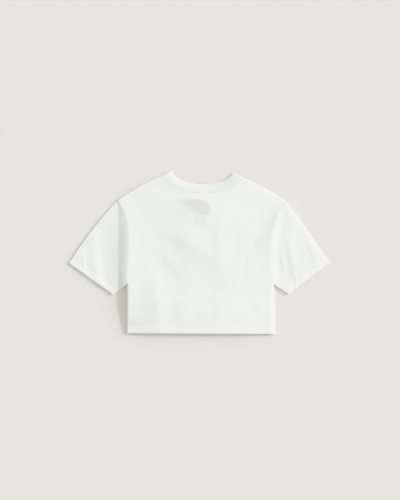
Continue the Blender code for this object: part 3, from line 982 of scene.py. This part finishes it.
def labelGhost(net, place):
    # a soft brown smudge where the label shows through: dark near its top and right, and paler
    # towards the lower left; the tab under it barely shows
    g = ghost
    x, y, _ = net.split(place)
    below = g["slantTop"] - y
    fromLeft = (x - below * g["leftSlant"]).step(*g["left"])
    toRight = 1.0 - (x - below * g["rightSlant"]).step(*g["right"])
    upDown = (1.0 - y.step(*g["top"])) * y.step(*g["foot"])
    upDown = upDown * (y.step(*g["paler"]) * (1 - g["palest"]) + g["palest"])
    smudge = fromLeft * toRight.atMost(1.0 - x.step(*g["rightEnd"])) * upDown
    tab = x.step(*g["tabLeft"]) * (1.0 - x.step(*g["tabRight"])) * y.step(*g["tabFoot"])
    tab = tab * (1.0 - y.step(*g["tabTop"])) * g["tabShare"]
    fineness, uneven, least = g["weave"]
    return smudge.atLeast(tab) * (net.noise(place, fineness, 2.0) * uneven + least)


jerseyBack = makeJersey("jerseyBack", bodyDoubled, labelGhost)
jerseyFront = makeJersey("jerseyFront", bodyDoubled)


def makeSleeveJersey(name, side):
    def cuffDoubled(net, place):
        # within the turned-up cuff
        x, y, _ = net.split(place)
        start = corner("cuffTop", side)
        across = direction(start, corner("cuffFoot", side))[1]
        away = abs((x - float(start[0])) * float(across[0]) + (y - float(start[1])) * float(across[1]))
        return withinBand(away, cloth["cuffDepth"])

    return makeJersey(name, cuffDoubled)


def makeRib():
    # 1 x 1 rib: the ribs are in the mesh, and the loops on them are bump
    f = jerseyFinish
    material, net = newFinish("rib")
    mottle = net.noise(net.place(), f["ribMottle"], 4.0).step(*f["mottle"])
    colour = net.mix(mottle * f["ribMottleDepth"], f["ribColour"], f["colour"])
    knitSurface(net, colour, neckband["ribPitch"] / 2, f["ribRoughness"])
    return material


yarns = {
    "thread": {
        "ply": (0.0007, 0.0005),  # the pitch of its plies, along and round
        # painted shade: the darker colour for the grooves between the plies, the lighter one for their crests
        "paintedPlyShade": ((0.80, 0.82, 0.80, 1.0), (0.88, 0.89, 0.87, 1.0)),
        "roughness": 0.55,
        "sheen": 0.1,
        "bump": 0.00005,
    },
    "tape": {
        "pick": 0.0006,
        "end": 0.0004,
        "pickShare": 0.6,
        "shade": 0.9,
        "shadeDepth": 0.35,
        "roughness": 0.5,
        "sheen": 0.2,
        "bump": 0.00008,
    },
}


def yarnSurface(net, p, colour, high):
    # smooth yarn: a slight sheen, and a height as bump
    look = {"Base Color": colour, "Roughness": p["roughness"], "Sheen Weight": p["sheen"]}
    net.surface({**look, "Normal": net.bump(high, p["bump"])})


def ripple(turns):
    # from 0 to 1 and back in each turn
    return (turns * (2 * math.pi)).sine() * 0.5 + 0.5


def makeThread():
    # twisted sewing thread: slanted ply lines along it, with painted shade: its colour is darker in the
    # grooves between the plies and lighter on their crests
    p = yarns["thread"]
    material, net = newFinish("thread")
    u, v, _ = net.split(net.clothPlace())
    ply = ripple(u / p["ply"][0] + v / p["ply"][1])
    yarnSurface(net, p, net.mix(ply, *p["paintedPlyShade"]), ply)
    return material


def makeTape(name, colour):
    # woven label tape: a fine satin with crosswise picks
    p = yarns["tape"]
    material, net = newFinish(name)
    u, v, _ = net.split(net.clothPlace())
    picks, ends = ripple(v / p["pick"]), ripple(u / p["end"])
    shaded = net.mix(picks * p["shadeDepth"], colour, shade(colour, p["shade"]))
    yarnSurface(net, p, shaded, picks * p["pickShare"] + ends * (1 - p["pickShare"]))
    return material


# Seams

seams = {
    "groove": 0.00003,  # how far the cloth is pulled in at a seam
    "grooveWidth": 0.0016,
    "allowance": 0.00022,  # the seam allowance under the cloth lifts it beside the neck
    "allowanceFrom": (0.0010, 0.0026),
    "allowanceTo": (0.0080, 0.0102),
    "needleDip": 0.00018,  # along a row of stitches
    "needleWidth": 0.0009,
    "linePoints": 100,  # along each seam's line
}


def seamRelief(gap, raised):
    # the groove beside a seam, and on one side of it the lifted seam allowance
    s = seams
    relief = -s["groove"] * bell(gap, s["grooveWidth"])
    if raised:
        relief += s["allowance"] * between(gap, s["allowanceFrom"]) * (1 - between(gap, s["allowanceTo"]))
    return relief


def needleRelief(gap, rows):
    # the dip along each of these rows of stitches
    return -seams["needleDip"] * sum(bell(gap - away, seams["needleWidth"]) for away in rows)


# Back and front

panels = {
    "cell": {"Back": 0.0024, "Front": 0.0034},
    "hemLines": (0.0172, 0.0218),  # the two rows of hem stitches, above the edge
    "neckLines": (0.0017, 0.0073),  # the two rows of stitches under the neckband
    "stitchRow": 0.0009,  # the mesh has a row on each row of stitches and so far beside it
    "stitchRoom": 0.0010,
    "hemRows": 0.024,  # how far up the mesh's rows are set by the hem
    "labelRelief": 0.00007,
    "labelBlur": 0.005,
    # where the creases of the cloth on the floor begin, from the hem, the neck, the edges, the armholes
    "creaseFrom": ((0.026, 0.046), (0.008, 0.016), (0.012, 0.032), (0.008, 0.016)),
}

backCreases = (
    # short streaks that run down the middle, and a faint crease beside the left side
    (((-3, -140), (-2, -196)), (0.10, 0.16), 9, 5),
    (((47, -176), (48, -206)), (0.12, 0.12), 8, 4),
    (((84, -138), (96, -192)), (0.10, 0.16), 10, 6),
    (((22, 20), (30, -50)), (0.05, 0.12), 12, 8),
    (((118, 60), (124, -40)), (0.04, 0.10), 14, 9),
    (((150, -40), (156, -150)), (0.10, 0.05), 12, 10),
    (((-92, -20), (-84, -110)), (0.05, 0.10), 14, 9),
    (((-36, -152), (-24, -206)), (0.12, 0.10), 7, 9),
    (((-12, -150), (-20, -206)), (0.10, 0.12), 9, 7),
    (((-212, -98), (-196, -102)), (0.25, 0.05), 5, 6),
    (((220, -100), (204, -104)), (0.20, 0.05), 5, 5),
)

underCreases = (
    # where the cloth that lies on the floor stands off it
    (((-120, 60), (-40, 10), (30, -20)), (0.2, 0.8, 0.1), 26, 18),
    (((60, 70), (84, 0), (78, -80)), (0.1, 0.7, 0.2), 20, 26),
    (((-150, -60), (-120, -130), (-112, -190)), (0.1, 0.7, 0.1), 18, 24),
    (((20, -60), (46, -120), (40, -180)), (0.1, 0.6, 0.1), 22, 16),
    (((120, 20), (150, -60), (140, -150)), (0.1, 0.7, 0.1), 18, 22),
    (((-60, -40), (-70, -120)), (0.4, 0.1), 16, 20),
)


def hemGap(points):
    # how far a point is above the hem's edge
    start, end = corner("hemCorner", left), corner("hemCorner", right)
    share = (points[:, 0] - start[0]) / (end[0] - start[0])
    return points[:, 1] - (start[1] + (end[1] - start[1]) * share)


def bodyRelief(points, layer):
    # small relief of the back or the front, up from its form
    p = panels
    share = np.linspace(0, 1, seams["linePoints"])
    gap = np.minimum(*(lineGap(points, armhole(side, layer)(share)) for side in (left, right)))
    neckGap = lineGap(points, neckLine("Seam", layer)(share))
    above = hemGap(points)
    relief = seamRelief(gap, False) + seamRelief(neckGap, True)
    relief += needleRelief(neckGap, p["neckLines"]) + needleRelief(above, p["hemLines"])
    if layer == "Front":
        gaps = (above, neckGap, nearestEdge(points)[0], gap)
        inside = np.prod([between(g, limits) for g, limits in zip(gaps, p["creaseFrom"])], axis=0)
        return foldHeights(points, underCreases) * inside + np.maximum(0, -relief)
    relief += foldHeights(points, backCreases) + clothWaves(points)
    for middle, top, width, height in labelPlaces.values():
        across = width / 2 - np.abs(points[:, 0] - middle)
        down = height / 2 - np.abs(points[:, 1] - (top - height / 2))
        inside = smooth(across / p["labelBlur"] + 0.5) * smooth(down / p["labelBlur"] + 0.5)
        relief += p["labelRelief"] * inside
    return relief


def bodyGrid(layer, cell):
    # rows run from the hem up the sides and armholes to the shoulders and neck; each column is
    # straight from the hem to the top, and the sides' curves fade out before the neck's columns
    hemLeft, hemRight = corner("hemCorner", left), corner("hemCorner", right)
    width = hemRight[0] - hemLeft[0]
    sideLength = corner("armpit", left)[1] - hemLeft[1]
    feet = [(corner("bandFoot", side)[0] - hemLeft[0]) / width for side in (left, right)]
    edges = edgeSteps / width
    leftCells, rightCells = (round(share * width / cell) for share in (feet[0], 1 - feet[1]))
    us = np.concatenate([
        edges[:-1],
        np.linspace(edges[-1], feet[0], leftCells + 1)[:-1],
        feet[0] + graded(plan["seamLength"], cell) * (feet[1] - feet[0]),
        np.linspace(feet[1], 1 - edges[-1], rightCells + 1)[1:],
        1 - edges[-2::-1],
    ])
    mark = sideLength / (sideLength + plan["seamLength"])
    lines = np.array(panels["hemLines"])
    beside = np.array((-1, 0, 1)) * panels["stitchRow"]
    hemRows = [edgeSteps[:-1], np.arange(edgeSteps[-1], lines[0] - panels["stitchRoom"], cell)]
    hemRows += [lines[0] + beside, lines.mean(keepdims=True), lines[1] + beside]
    hemRows = np.concatenate([*hemRows, [cloth["hemDepth"] + cloth["hemStep"]]]) / sideLength * mark
    sideCells = round((sideLength - panels["hemRows"]) / cell)
    sideRows = np.linspace(hemRows[-1], mark, sideCells + 1)[1:-1]
    holeRows = mark + graded(plan["seamLength"], cell) * (1 - mark)
    vs = np.concatenate([hemRows, sideRows, holeRows])

    hem = straight(hemLeft, hemRight)(us)
    seam = neckLine("Seam", layer)
    top = inTurn((edge("shoulder", left), seam, backwards(edge("shoulder", right))), feet)(us)
    u, v = us[None, :, None], vs[:, None, None]
    grid = (1 - v) * hem + v * top
    reach = (1 - u / feet[0], 1 - (1 - u) / (1 - feet[1]))
    for side, weight in enumerate(reach):
        run = inTurn((edge("bodySide", side), armhole(side, layer)), (mark,))(vs)
        grid = grid + np.clip(weight, 0, 1) ** 2 * (run - grid[:, -side])[:, None]

    armpit = int(np.searchsorted(vs, mark - tiny))
    first, last = (int(np.searchsorted(us, foot - tiny)) for foot in feet)
    topRow, endColumn = len(vs) - 1, len(us) - 1
    half = cloth["seamGap"] / 2
    for at, inwards in ((0, 1), (endColumn, -1)):
        drawBack(grid, np.arange(armpit + 1, topRow), at, (0, inwards), half)
        drawBack(grid, armpit, at, (-1, 0), cloth["cornerGap"])
        drawBack(grid, topRow, at, (0, inwards), cloth["cornerGap"])
    drawBack(grid, topRow, np.arange(first + 1, last), (-1, 0), half)
    drawBack(grid, topRow, first, (0, -1), cloth["cornerGap"])
    drawBack(grid, topRow, last, (0, 1), cloth["cornerGap"])
    onEdge = np.zeros(grid.shape[:2], bool)
    onEdge[: armpit + 1, 0] = onEdge[: armpit + 1, endColumn] = True
    onEdge[topRow, : first + 1] = onEdge[topRow, last:] = True
    return grid, onEdge, hem


def makeBody(name, layer, finish):
    # one panel, its hem doubled; along rounded edges back and front part by the seam's gap
    grid, onEdge, hem = bodyGrid(layer, panels["cell"][layer])
    inHem = 1 - np.clip((grid[..., 1] - hem[None, :, 1] - cloth["hemDepth"]) / cloth["hemStep"], 0, 1)
    thick = cloth["jersey"] * (1 + inHem)
    relief = bodyRelief(grid.reshape(-1, 2), layer)
    ownEdges = ("bodySide", "shoulder")
    faces = wallFaces(grid, layer == "Back", "body", thick, relief, rimsOf(grid), onEdge, ownEdges)
    half = cloth["seamGap"] / 2 if layer == "Back" else -cloth["seamGap"] / 2
    for face in faces:
        face[..., 2] += half * onEdge
    piece = addWall(name, *faces, grid, finish, outwards=layer == "Back")
    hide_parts(layer.lower())
    return piece, planArea(grid)


# Sleeves

sleeves = {
    "cell": 0.0021,
    "cuffLines": (0.0140, 0.0192),  # the two rows of cuff stitches, in from the edge
    "slopeCells": 14,  # from the seam to the crease
    "slopeWidth": 0.026,
    "slopeFrom": 0.18,  # where its even cells begin, as a share
    "sleeveCells": 60,  # from the crease to the cuff's step
    # rows as shares, from the step to the upper stitches, on to the lower ones and on to the cuff's edge
    "cuffSteps": ((0.0, 0.4), (0.0, 0.17, 0.5, 0.83), (0.0, 0.07, 0.2, 0.35, 0.5)),
    # where the creases of the cloth on the floor begin, from the edges, the armhole and the cuff
    "creaseFrom": ((0.010, 0.030), (0.009, 0.017), (0.024, 0.039)),
}

leftCreases = (
    # puckers, where the cuff's turned-up cloth gathers
    (((-340, -24), (-338, -58)), (0.20, 0.50), 4.5, 4.0),
    (((-352, -30), (-352, -50)), (0.10, 0.22), 4.0, 4.0),
    (((-326, -52), (-325, -70)), (0.15, 0.25), 3.5, 4.0),
    (((-314, -56), (-313, -78)), (0.12, 0.36), 3.5, 3.5),
    (((-304, -62), (-302, -86)), (0.15, 0.40), 3.5, 3.5),
    (((-292, -66), (-290, -94)), (0.15, 0.46), 3.8, 3.5),
    (((-279, -78), (-276, -104)), (0.18, 0.55), 3.8, 3.5),
    (((-266, -92), (-262, -113)), (0.20, 0.55), 4.0, 3.5),
)

rightCreases = (
    (((318, -54), (331, -63), (340, -61)), (0.15, 0.35, 0.10), 3.0, 4.0),
    (((298, -50), (302, -84)), (0.10, 0.40), 6.0, 4.0),
    (((312, -60), (314, -82)), (0.10, 0.30), 4.0, 3.5),
    (((286, -84), (286, -104)), (0.15, 0.28), 4.0, 4.0),
    (((272, -92), (270, -112)), (0.12, 0.22), 4.0, 3.5),
    (((330, -48), (334, -62)), (0.10, 0.26), 4.0, 3.5),
    (((352, -36), (352, -50)), (0.08, 0.20), 4.0, 4.0),
    (((226, -76), (243, -84)), (0.35, 0.10), 4.0, 5.0),
)

underSleeveCreases = (
    (((-262, 90), (-280, 10), (-276, -70)), (0.1, 0.8, 0.1), 14, 18),
    (((-310, 40), (-330, -20)), (0.5, 0.1), 14, 14),
    (((262, 96), (282, 20), (284, -60)), (0.1, 0.8, 0.1), 14, 16),
    (((318, 40), (336, -16)), (0.5, 0.1), 12, 14),
)


def sleeveRelief(points, side, layer):
    # small relief of a sleeve's upper or lower layer, up from its form
    gap = lineGap(points, armhole(side, layer)(np.linspace(0, 1, seams["linePoints"])))
    cuff = cuffGap(points, side)
    relief = seamRelief(gap, False) + needleRelief(cuff, sleeves["cuffLines"])
    if layer == "Front":
        gaps = (nearestEdge(points)[0], gap, cuff)
        inside = np.prod([between(g, limits) for g, limits in zip(gaps, sleeves["creaseFrom"])], axis=0)
        return foldHeights(points, underSleeveCreases) * inside + np.maximum(0, -relief)
    creases = leftCreases if side == left else rightCreases
    return relief + foldHeights(points, creases) + clothWaves(points)


def sleeveGrid(side, layer):
    # rows run from the armhole to the cuff, columns from the fold along the top to the underarm
    fold, under = backwards(edge("sleeveFold", side)), edge("underarm", side)
    foldLength = np.hypot(*(corner("cuffTop", side) - corner("shoulderTip", side)))
    underLength = np.hypot(*(corner("cuffFoot", side) - corner("armpit", side)))
    shares = 1 - graded(plan["seamLength"], sleeves["cell"])[::-1]
    rows = heights["crease"]
    creaseY = (rows[-1][0] + (rows[0][0] - rows[-1][0]) * shares) * mm
    name = ("leftX", "rightX")[side]
    crease = np.stack([tableAt(creaseY, rows, heights["creaseColumns"], name), creaseY], 1)
    marksIn = np.array((cloth["cuffDepth"] + cloth["hemStep"], *sleeves["cuffLines"][::-1], 0.0))
    foldMarks = (0.0, heights["creaseEnds"][0], *(1 - marksIn / foldLength))
    underMarks = (0.0, heights["creaseEnds"][1], *(1 - marksIn / underLength))
    foldEnds, underEnds = fold(foldMarks), under(underMarks)
    keys = [backwards(armhole(side, layer))(shares), crease]
    keys += [straight(a, b)(shares) for a, b in zip(foldEnds[2:], underEnds[2:])]
    slope = np.linspace(sleeves["slopeFrom"], 1, sleeves["slopeCells"])[:-1]
    steps = [
        (*edgeSteps[:6] / sleeves["slopeWidth"], *slope),
        np.arange(sleeves["sleeveCells"]) / sleeves["sleeveCells"],
        *sleeves["cuffSteps"],
    ]
    steps[-1] += tuple(1 - edgeSteps[6:0:-1] / marksIn[2])
    grid, foldShares, underShares = [], [], []
    for at, parts in enumerate(steps):
        for share in parts:
            grid.append(keys[at] * (1 - share) + keys[at + 1] * share)
            foldShares.append(foldMarks[at] * (1 - share) + foldMarks[at + 1] * share)
            underShares.append(underMarks[at] * (1 - share) + underMarks[at + 1] * share)
    grid = np.stack([*grid, keys[-1]])
    top, low = fold([*foldShares, 1]), under([*underShares, 1])
    v = shares[None, :, None]
    return grid + (1 - v) * (top - grid[:, 0])[:, None] + v * (low - grid[:, -1])[:, None]


def makeSleeve(name, side, finish):
    # a tube pressed flat: folded along its top, sewn along the underarm, its cuff turned up inside
    walls = []
    for layer in ("Back", "Front"):
        grid = sleeveGrid(side, layer)
        onEdge = freeTube(grid, 0, 1)
        points = grid.reshape(-1, 2)
        cuff = cuffGap(points, side).reshape(grid.shape[:2])
        thick = cloth["jersey"] * (2 - np.clip((cuff - cloth["cuffDepth"]) / cloth["hemStep"], 0, 1))
        relief = sleeveRelief(points, side, layer)
        ownEdges = ("underarm", "sleeveFold")
        upper = layer == "Back"
        walls.append(wallFaces(grid, upper, "sleeve", thick, relief, rimsOf(grid)[:2], onEdge, ownEdges))
    # the knit's columns run along the sleeve's fold
    along, across = direction(corner("shoulderTip", side), corner("cuffTop", side))
    turned = np.stack([grid @ across, grid @ along], -1)
    uv = np.concatenate([turned, turned[:, -2:0:-1], turned[:, :1]], 1)
    piece = addWall(name, *joinedRound(walls), uv, finish, outwards=side == right, closed=True)
    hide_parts(("sleeve_left", "sleeve_right")[side])
    return piece, planArea(grid)


# Neckband

neckband = {
    "ribPitch": 0.0022,
    "ribHeight": 0.00016,
    "margin": 0.00012,  # the lower margin is raised by the seam allowance inside it
    "marginEnds": (0.0045, 0.0085),
    "samplesPerRib": 4,
    "rows": 12,
    "depth": 0.026,
    "linePoints": 200,  # along each seam, where its length is taken
    "ribFade": 0.0016,  # how far from the band's edges its ribs are whole
}


def bandGrid(layer, columns):
    # across the band from its inside edge to the seam, along it from the left shoulder to the right
    shares = np.linspace(0, 1, columns + 1)
    seam, inside = neckLine("Seam", layer)(shares), neckLine("Inside", layer)(shares)
    fine = edgeSteps[:7] / neckband["depth"]
    even = np.linspace(fine[-1], 1 - fine[-1], neckband["rows"])
    v = np.concatenate([fine[:-1], even, 1 - fine[-2::-1]])[:, None, None]
    return inside * (1 - v) + seam * v


def makeNeckband(finish):
    # a doubled strip of rib in a ring, folded flat at the two shoulders
    b = neckband
    walls, uvs, start, area = [], [], 0.0, 0.0
    for layer in ("Back", "Front"):
        line = neckLine("Seam", layer)(np.linspace(0, 1, b["linePoints"]))
        length = np.hypot(*np.diff(line, axis=0).T).sum()
        grid = bandGrid(layer, round(length / b["ribPitch"]) * b["samplesPerRib"])
        onEdge = freeTube(grid, grid.shape[0] - 1, -1)
        turn = np.arange(grid.shape[1]) / b["samplesPerRib"] * 2 * math.pi
        points = grid.reshape(-1, 2)
        toEdge, toSeam = (lineGap(points, rim).reshape(grid.shape[:2]) for rim in (grid[0], grid[-1]))
        whole = smooth(np.minimum(toEdge, toSeam) / b["ribFade"])
        relief = b["ribHeight"] * (0.5 - 0.5 * np.cos(turn))[None, :] * whole
        upper = layer == "Back"
        if upper:
            relief += b["margin"] * (1 - between(toSeam, b["marginEnds"])) - b["ribHeight"] / 2
        rims = rimsOf(grid)[:2]
        relief = relief.reshape(-1)
        walls.append(wallFaces(grid, upper, "band", cloth["rib"], relief, rims, onEdge, ("bandEnd",)))
        u = start + np.linspace(0, length, grid.shape[1])
        v = np.linspace(0, b["depth"], grid.shape[0])
        uvs.append(np.stack(np.broadcast_arrays(u[None, :], v[:, None]), -1))
        start += length
        area += planArea(grid)
    upper, lower = uvs
    lower = lower[:, ::-1].copy()
    lower[..., 0] = upper[:, -1:, 0] + (lower[:, :1, 0] - lower[..., 0])
    uv = np.concatenate([upper, lower[:, 1:]], 1)
    piece = addWall("neckRib", *joinedRound(walls), uv, finish, outwards=False, closed=True)
    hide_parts("neckband")
    return piece, start, area / start


# Labels

labels = {
    "cells": (60, 34),
    "neckColour": (0.55, 0.50, 0.48, 1.0),
    "tabColour": (0.70, 0.68, 0.66, 1.0),
}


def makeLabel(name, node, colour):
    # a flat label against the inside of the back
    middle, top, width, height = labelPlaces[name]
    across = np.linspace(-width / 2, width / 2, labels["cells"][0] + 1) + middle
    down = np.linspace(top - height, top, labels["cells"][1] + 1)
    grid = np.stack(np.meshgrid(across, down), -1)
    depth = cloth["jersey"] + cloth["labelGap"]
    faces = wallFaces(grid, True, "body", cloth["label"], 0.0, rimsOf(grid), depth=depth)
    piece = addWall(name, *faces, grid, makeTape(f"{name}Tape", colour), outwards=True)
    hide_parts(node)
    return piece


# Stitches

stitching = {
    "pitch": 0.0031,
    "length": 0.0026,
    "radius": 0.00019,
    "sides": 5,
    "steps": 5,
    "above": 0.00010,  # how far a stitch's middle stands above the cloth
    "below": 0.00032,  # how deep its ends dive
    "archPower": 0.6,
    "hemInset": 0.004,  # where the rows begin and end, in from the corners
    "cuffInset": (0.012, 0.006),
    "neckInset": 0.02,  # as a share of the seam
    "neckPoints": 240,
    "sideWidth": 1.2,  # of one side of a thread, in its radii
}


def stitchPath(line, layer, side=None):
    # stitches along a line on the body, or on a side's sleeve: each is an arc that comes up out of
    # the cloth and dives back into it
    s = stitching
    length = np.concatenate([[0], np.cumsum(np.hypot(*np.diff(line, axis=0).T))])
    count = int(length[-1] / s["pitch"])
    starts = (np.arange(count) + 0.5) * length[-1] / count - s["length"] / 2
    share = np.linspace(0, 1, s["steps"])
    at = (starts[:, None] + share * s["length"]).reshape(-1)
    points = np.stack([np.interp(at, length, line[:, axis]) for axis in (0, 1)], 1)
    relief = bodyRelief(points, layer) if side is None else sleeveRelief(points, side, layer)
    part = "body" if side is None else "sleeve"
    surface, _, normal = outerFace(points, layer == "Back", part, relief)
    arch = np.sin(share * math.pi) ** s["archPower"]
    lift = np.tile(-s["below"] + (s["above"] + s["below"]) * arch, count)
    path = surface + normal * lift[:, None]
    path[:, 2] = np.maximum(path[:, 2], s["radius"])
    return path.reshape(count, s["steps"], 3), normal.reshape(count, s["steps"], 3)


def makeStitches(name, paths, finish):
    # tubes along many short paths, as one mesh
    s = stitching
    path, normal = (np.concatenate(parts) for parts in zip(*paths))
    along = np.gradient(path, axis=1)
    along /= np.linalg.norm(along, axis=2)[..., None]
    side = np.cross(along, normal)
    side /= np.linalg.norm(side, axis=2)[..., None]
    up = np.cross(side, along)
    turn = np.arange(s["sides"]) * 2 * math.pi / s["sides"]
    ring = np.cos(turn)[:, None] * up[:, :, None] + np.sin(turn)[:, None] * side[:, :, None]
    points = path[:, :, None] + ring * s["radius"]
    count, steps, sides = points.shape[:3]
    index = np.arange(count * steps * sides).reshape(count, steps, sides)
    around = np.roll(index, -1, axis=2)
    faces = np.stack([index[:, :-1], around[:, :-1], around[:, 1:], index[:, 1:]], -1).reshape(-1, 4)
    caps = np.concatenate([index[:, 0, ::-1].reshape(-1, sides), index[:, -1].reshape(-1, sides)])
    u, v = np.arange(steps)[:, None], np.arange(sides)
    place = np.stack(np.broadcast_arrays(u * s["length"] / (steps - 1), v * s["radius"] * s["sideWidth"]), -1)
    place = np.broadcast_to(place, (count, steps, sides, 2)).reshape(-1, 2)
    loops = np.concatenate([faces.reshape(-1), caps.reshape(-1)])
    return addPiece(name, points.reshape(-1, 3), faces.tolist() + caps.tolist(), place[loops], finish)


def hemStitches(layer):
    # straight rows along the hem, so far above its edge
    inset, paths = stitching["hemInset"], []
    for away in panels["hemLines"]:
        start = corner("hemCorner", left) + (inset, away)
        end = corner("hemCorner", right) + (-inset, away)
        paths.append(stitchPath(np.array((start, end)), layer))
    return paths


def neckStitches(layer):
    # rows that follow the neck seam on the body's side, so far from it
    inset = stitching["neckInset"]
    line = neckLine("Seam", layer)(np.linspace(inset, 1 - inset, stitching["neckPoints"]))
    along = np.gradient(line, axis=0)
    normal = np.stack([along[:, 1], -along[:, 0]], 1) / np.hypot(along[:, 0], along[:, 1])[:, None]
    return [stitchPath(line + normal * away, layer) for away in panels["neckLines"]]


def cuffStitches(side, layer):
    # straight rows along the cuff, so far in from its edge
    top, foot = corner("cuffTop", side), corner("cuffFoot", side)
    run, across = direction(top, foot)
    fromTop, fromFoot = stitching["cuffInset"]
    rows = [-across * outward[side] * away for away in sleeves["cuffLines"]]
    ends = [(top + run * fromTop + row, foot - run * fromFoot + row) for row in rows]
    return [stitchPath(np.array(line), layer, side) for line in ends]


def bothLayers(stitches, *side):
    # the rows on the back and those on the front
    return stitches(*side, "Back") + stitches(*side, "Front")


# Putting the shirt together

ribFinish = makeRib()
threadFinish = makeThread()
back, backArea = makeBody("backPanel", "Back", jerseyBack)
front, frontArea = makeBody("frontPanel", "Front", jerseyFront)
print("body: back and front")
sleeveLeft, leftArea = makeSleeve("sleeveLeft", left, makeSleeveJersey("jerseyLeft", left))
sleeveRight, rightArea = makeSleeve("sleeveRight", right, makeSleeveJersey("jerseyRight", right))
print("sleeves")
band, bandLength, bandDepth = makeNeckband(ribFinish)
makeLabel("neckLabel", "neck_label", labels["neckColour"])
makeLabel("sizeTab", "size_tab", labels["tabColour"])
print("neckband and labels")

hemThread = makeStitches("hemStitches", bothLayers(hemStitches), threadFinish)
neckThread = makeStitches("neckStitches", bothLayers(neckStitches), threadFinish)
leftThread = makeStitches("cuffStitchesLeft", bothLayers(cuffStitches, left), threadFinish)
rightThread = makeStitches("cuffStitchesRight", bothLayers(cuffStitches, right), threadFinish)
print("stitches")


def sleeveFlat(side):
    # opened out at its fold: twice the greatest distance from the fold, and the reach along it
    top = corner("shoulderTip", side)
    hole = armhole(side, "Back")(np.linspace(0, 1, plan["routePoints"]))
    outline = np.concatenate([hole, [corner("cuffFoot", side), corner("cuffTop", side)]]) - top
    along, across = direction(top, corner("cuffTop", side))
    return 2 * float(np.abs(outline @ across).max()), float(np.ptp(outline @ along))


sleeveFlat(left)
2 * leftArea
sleeveFlat(right)
2 * rightArea
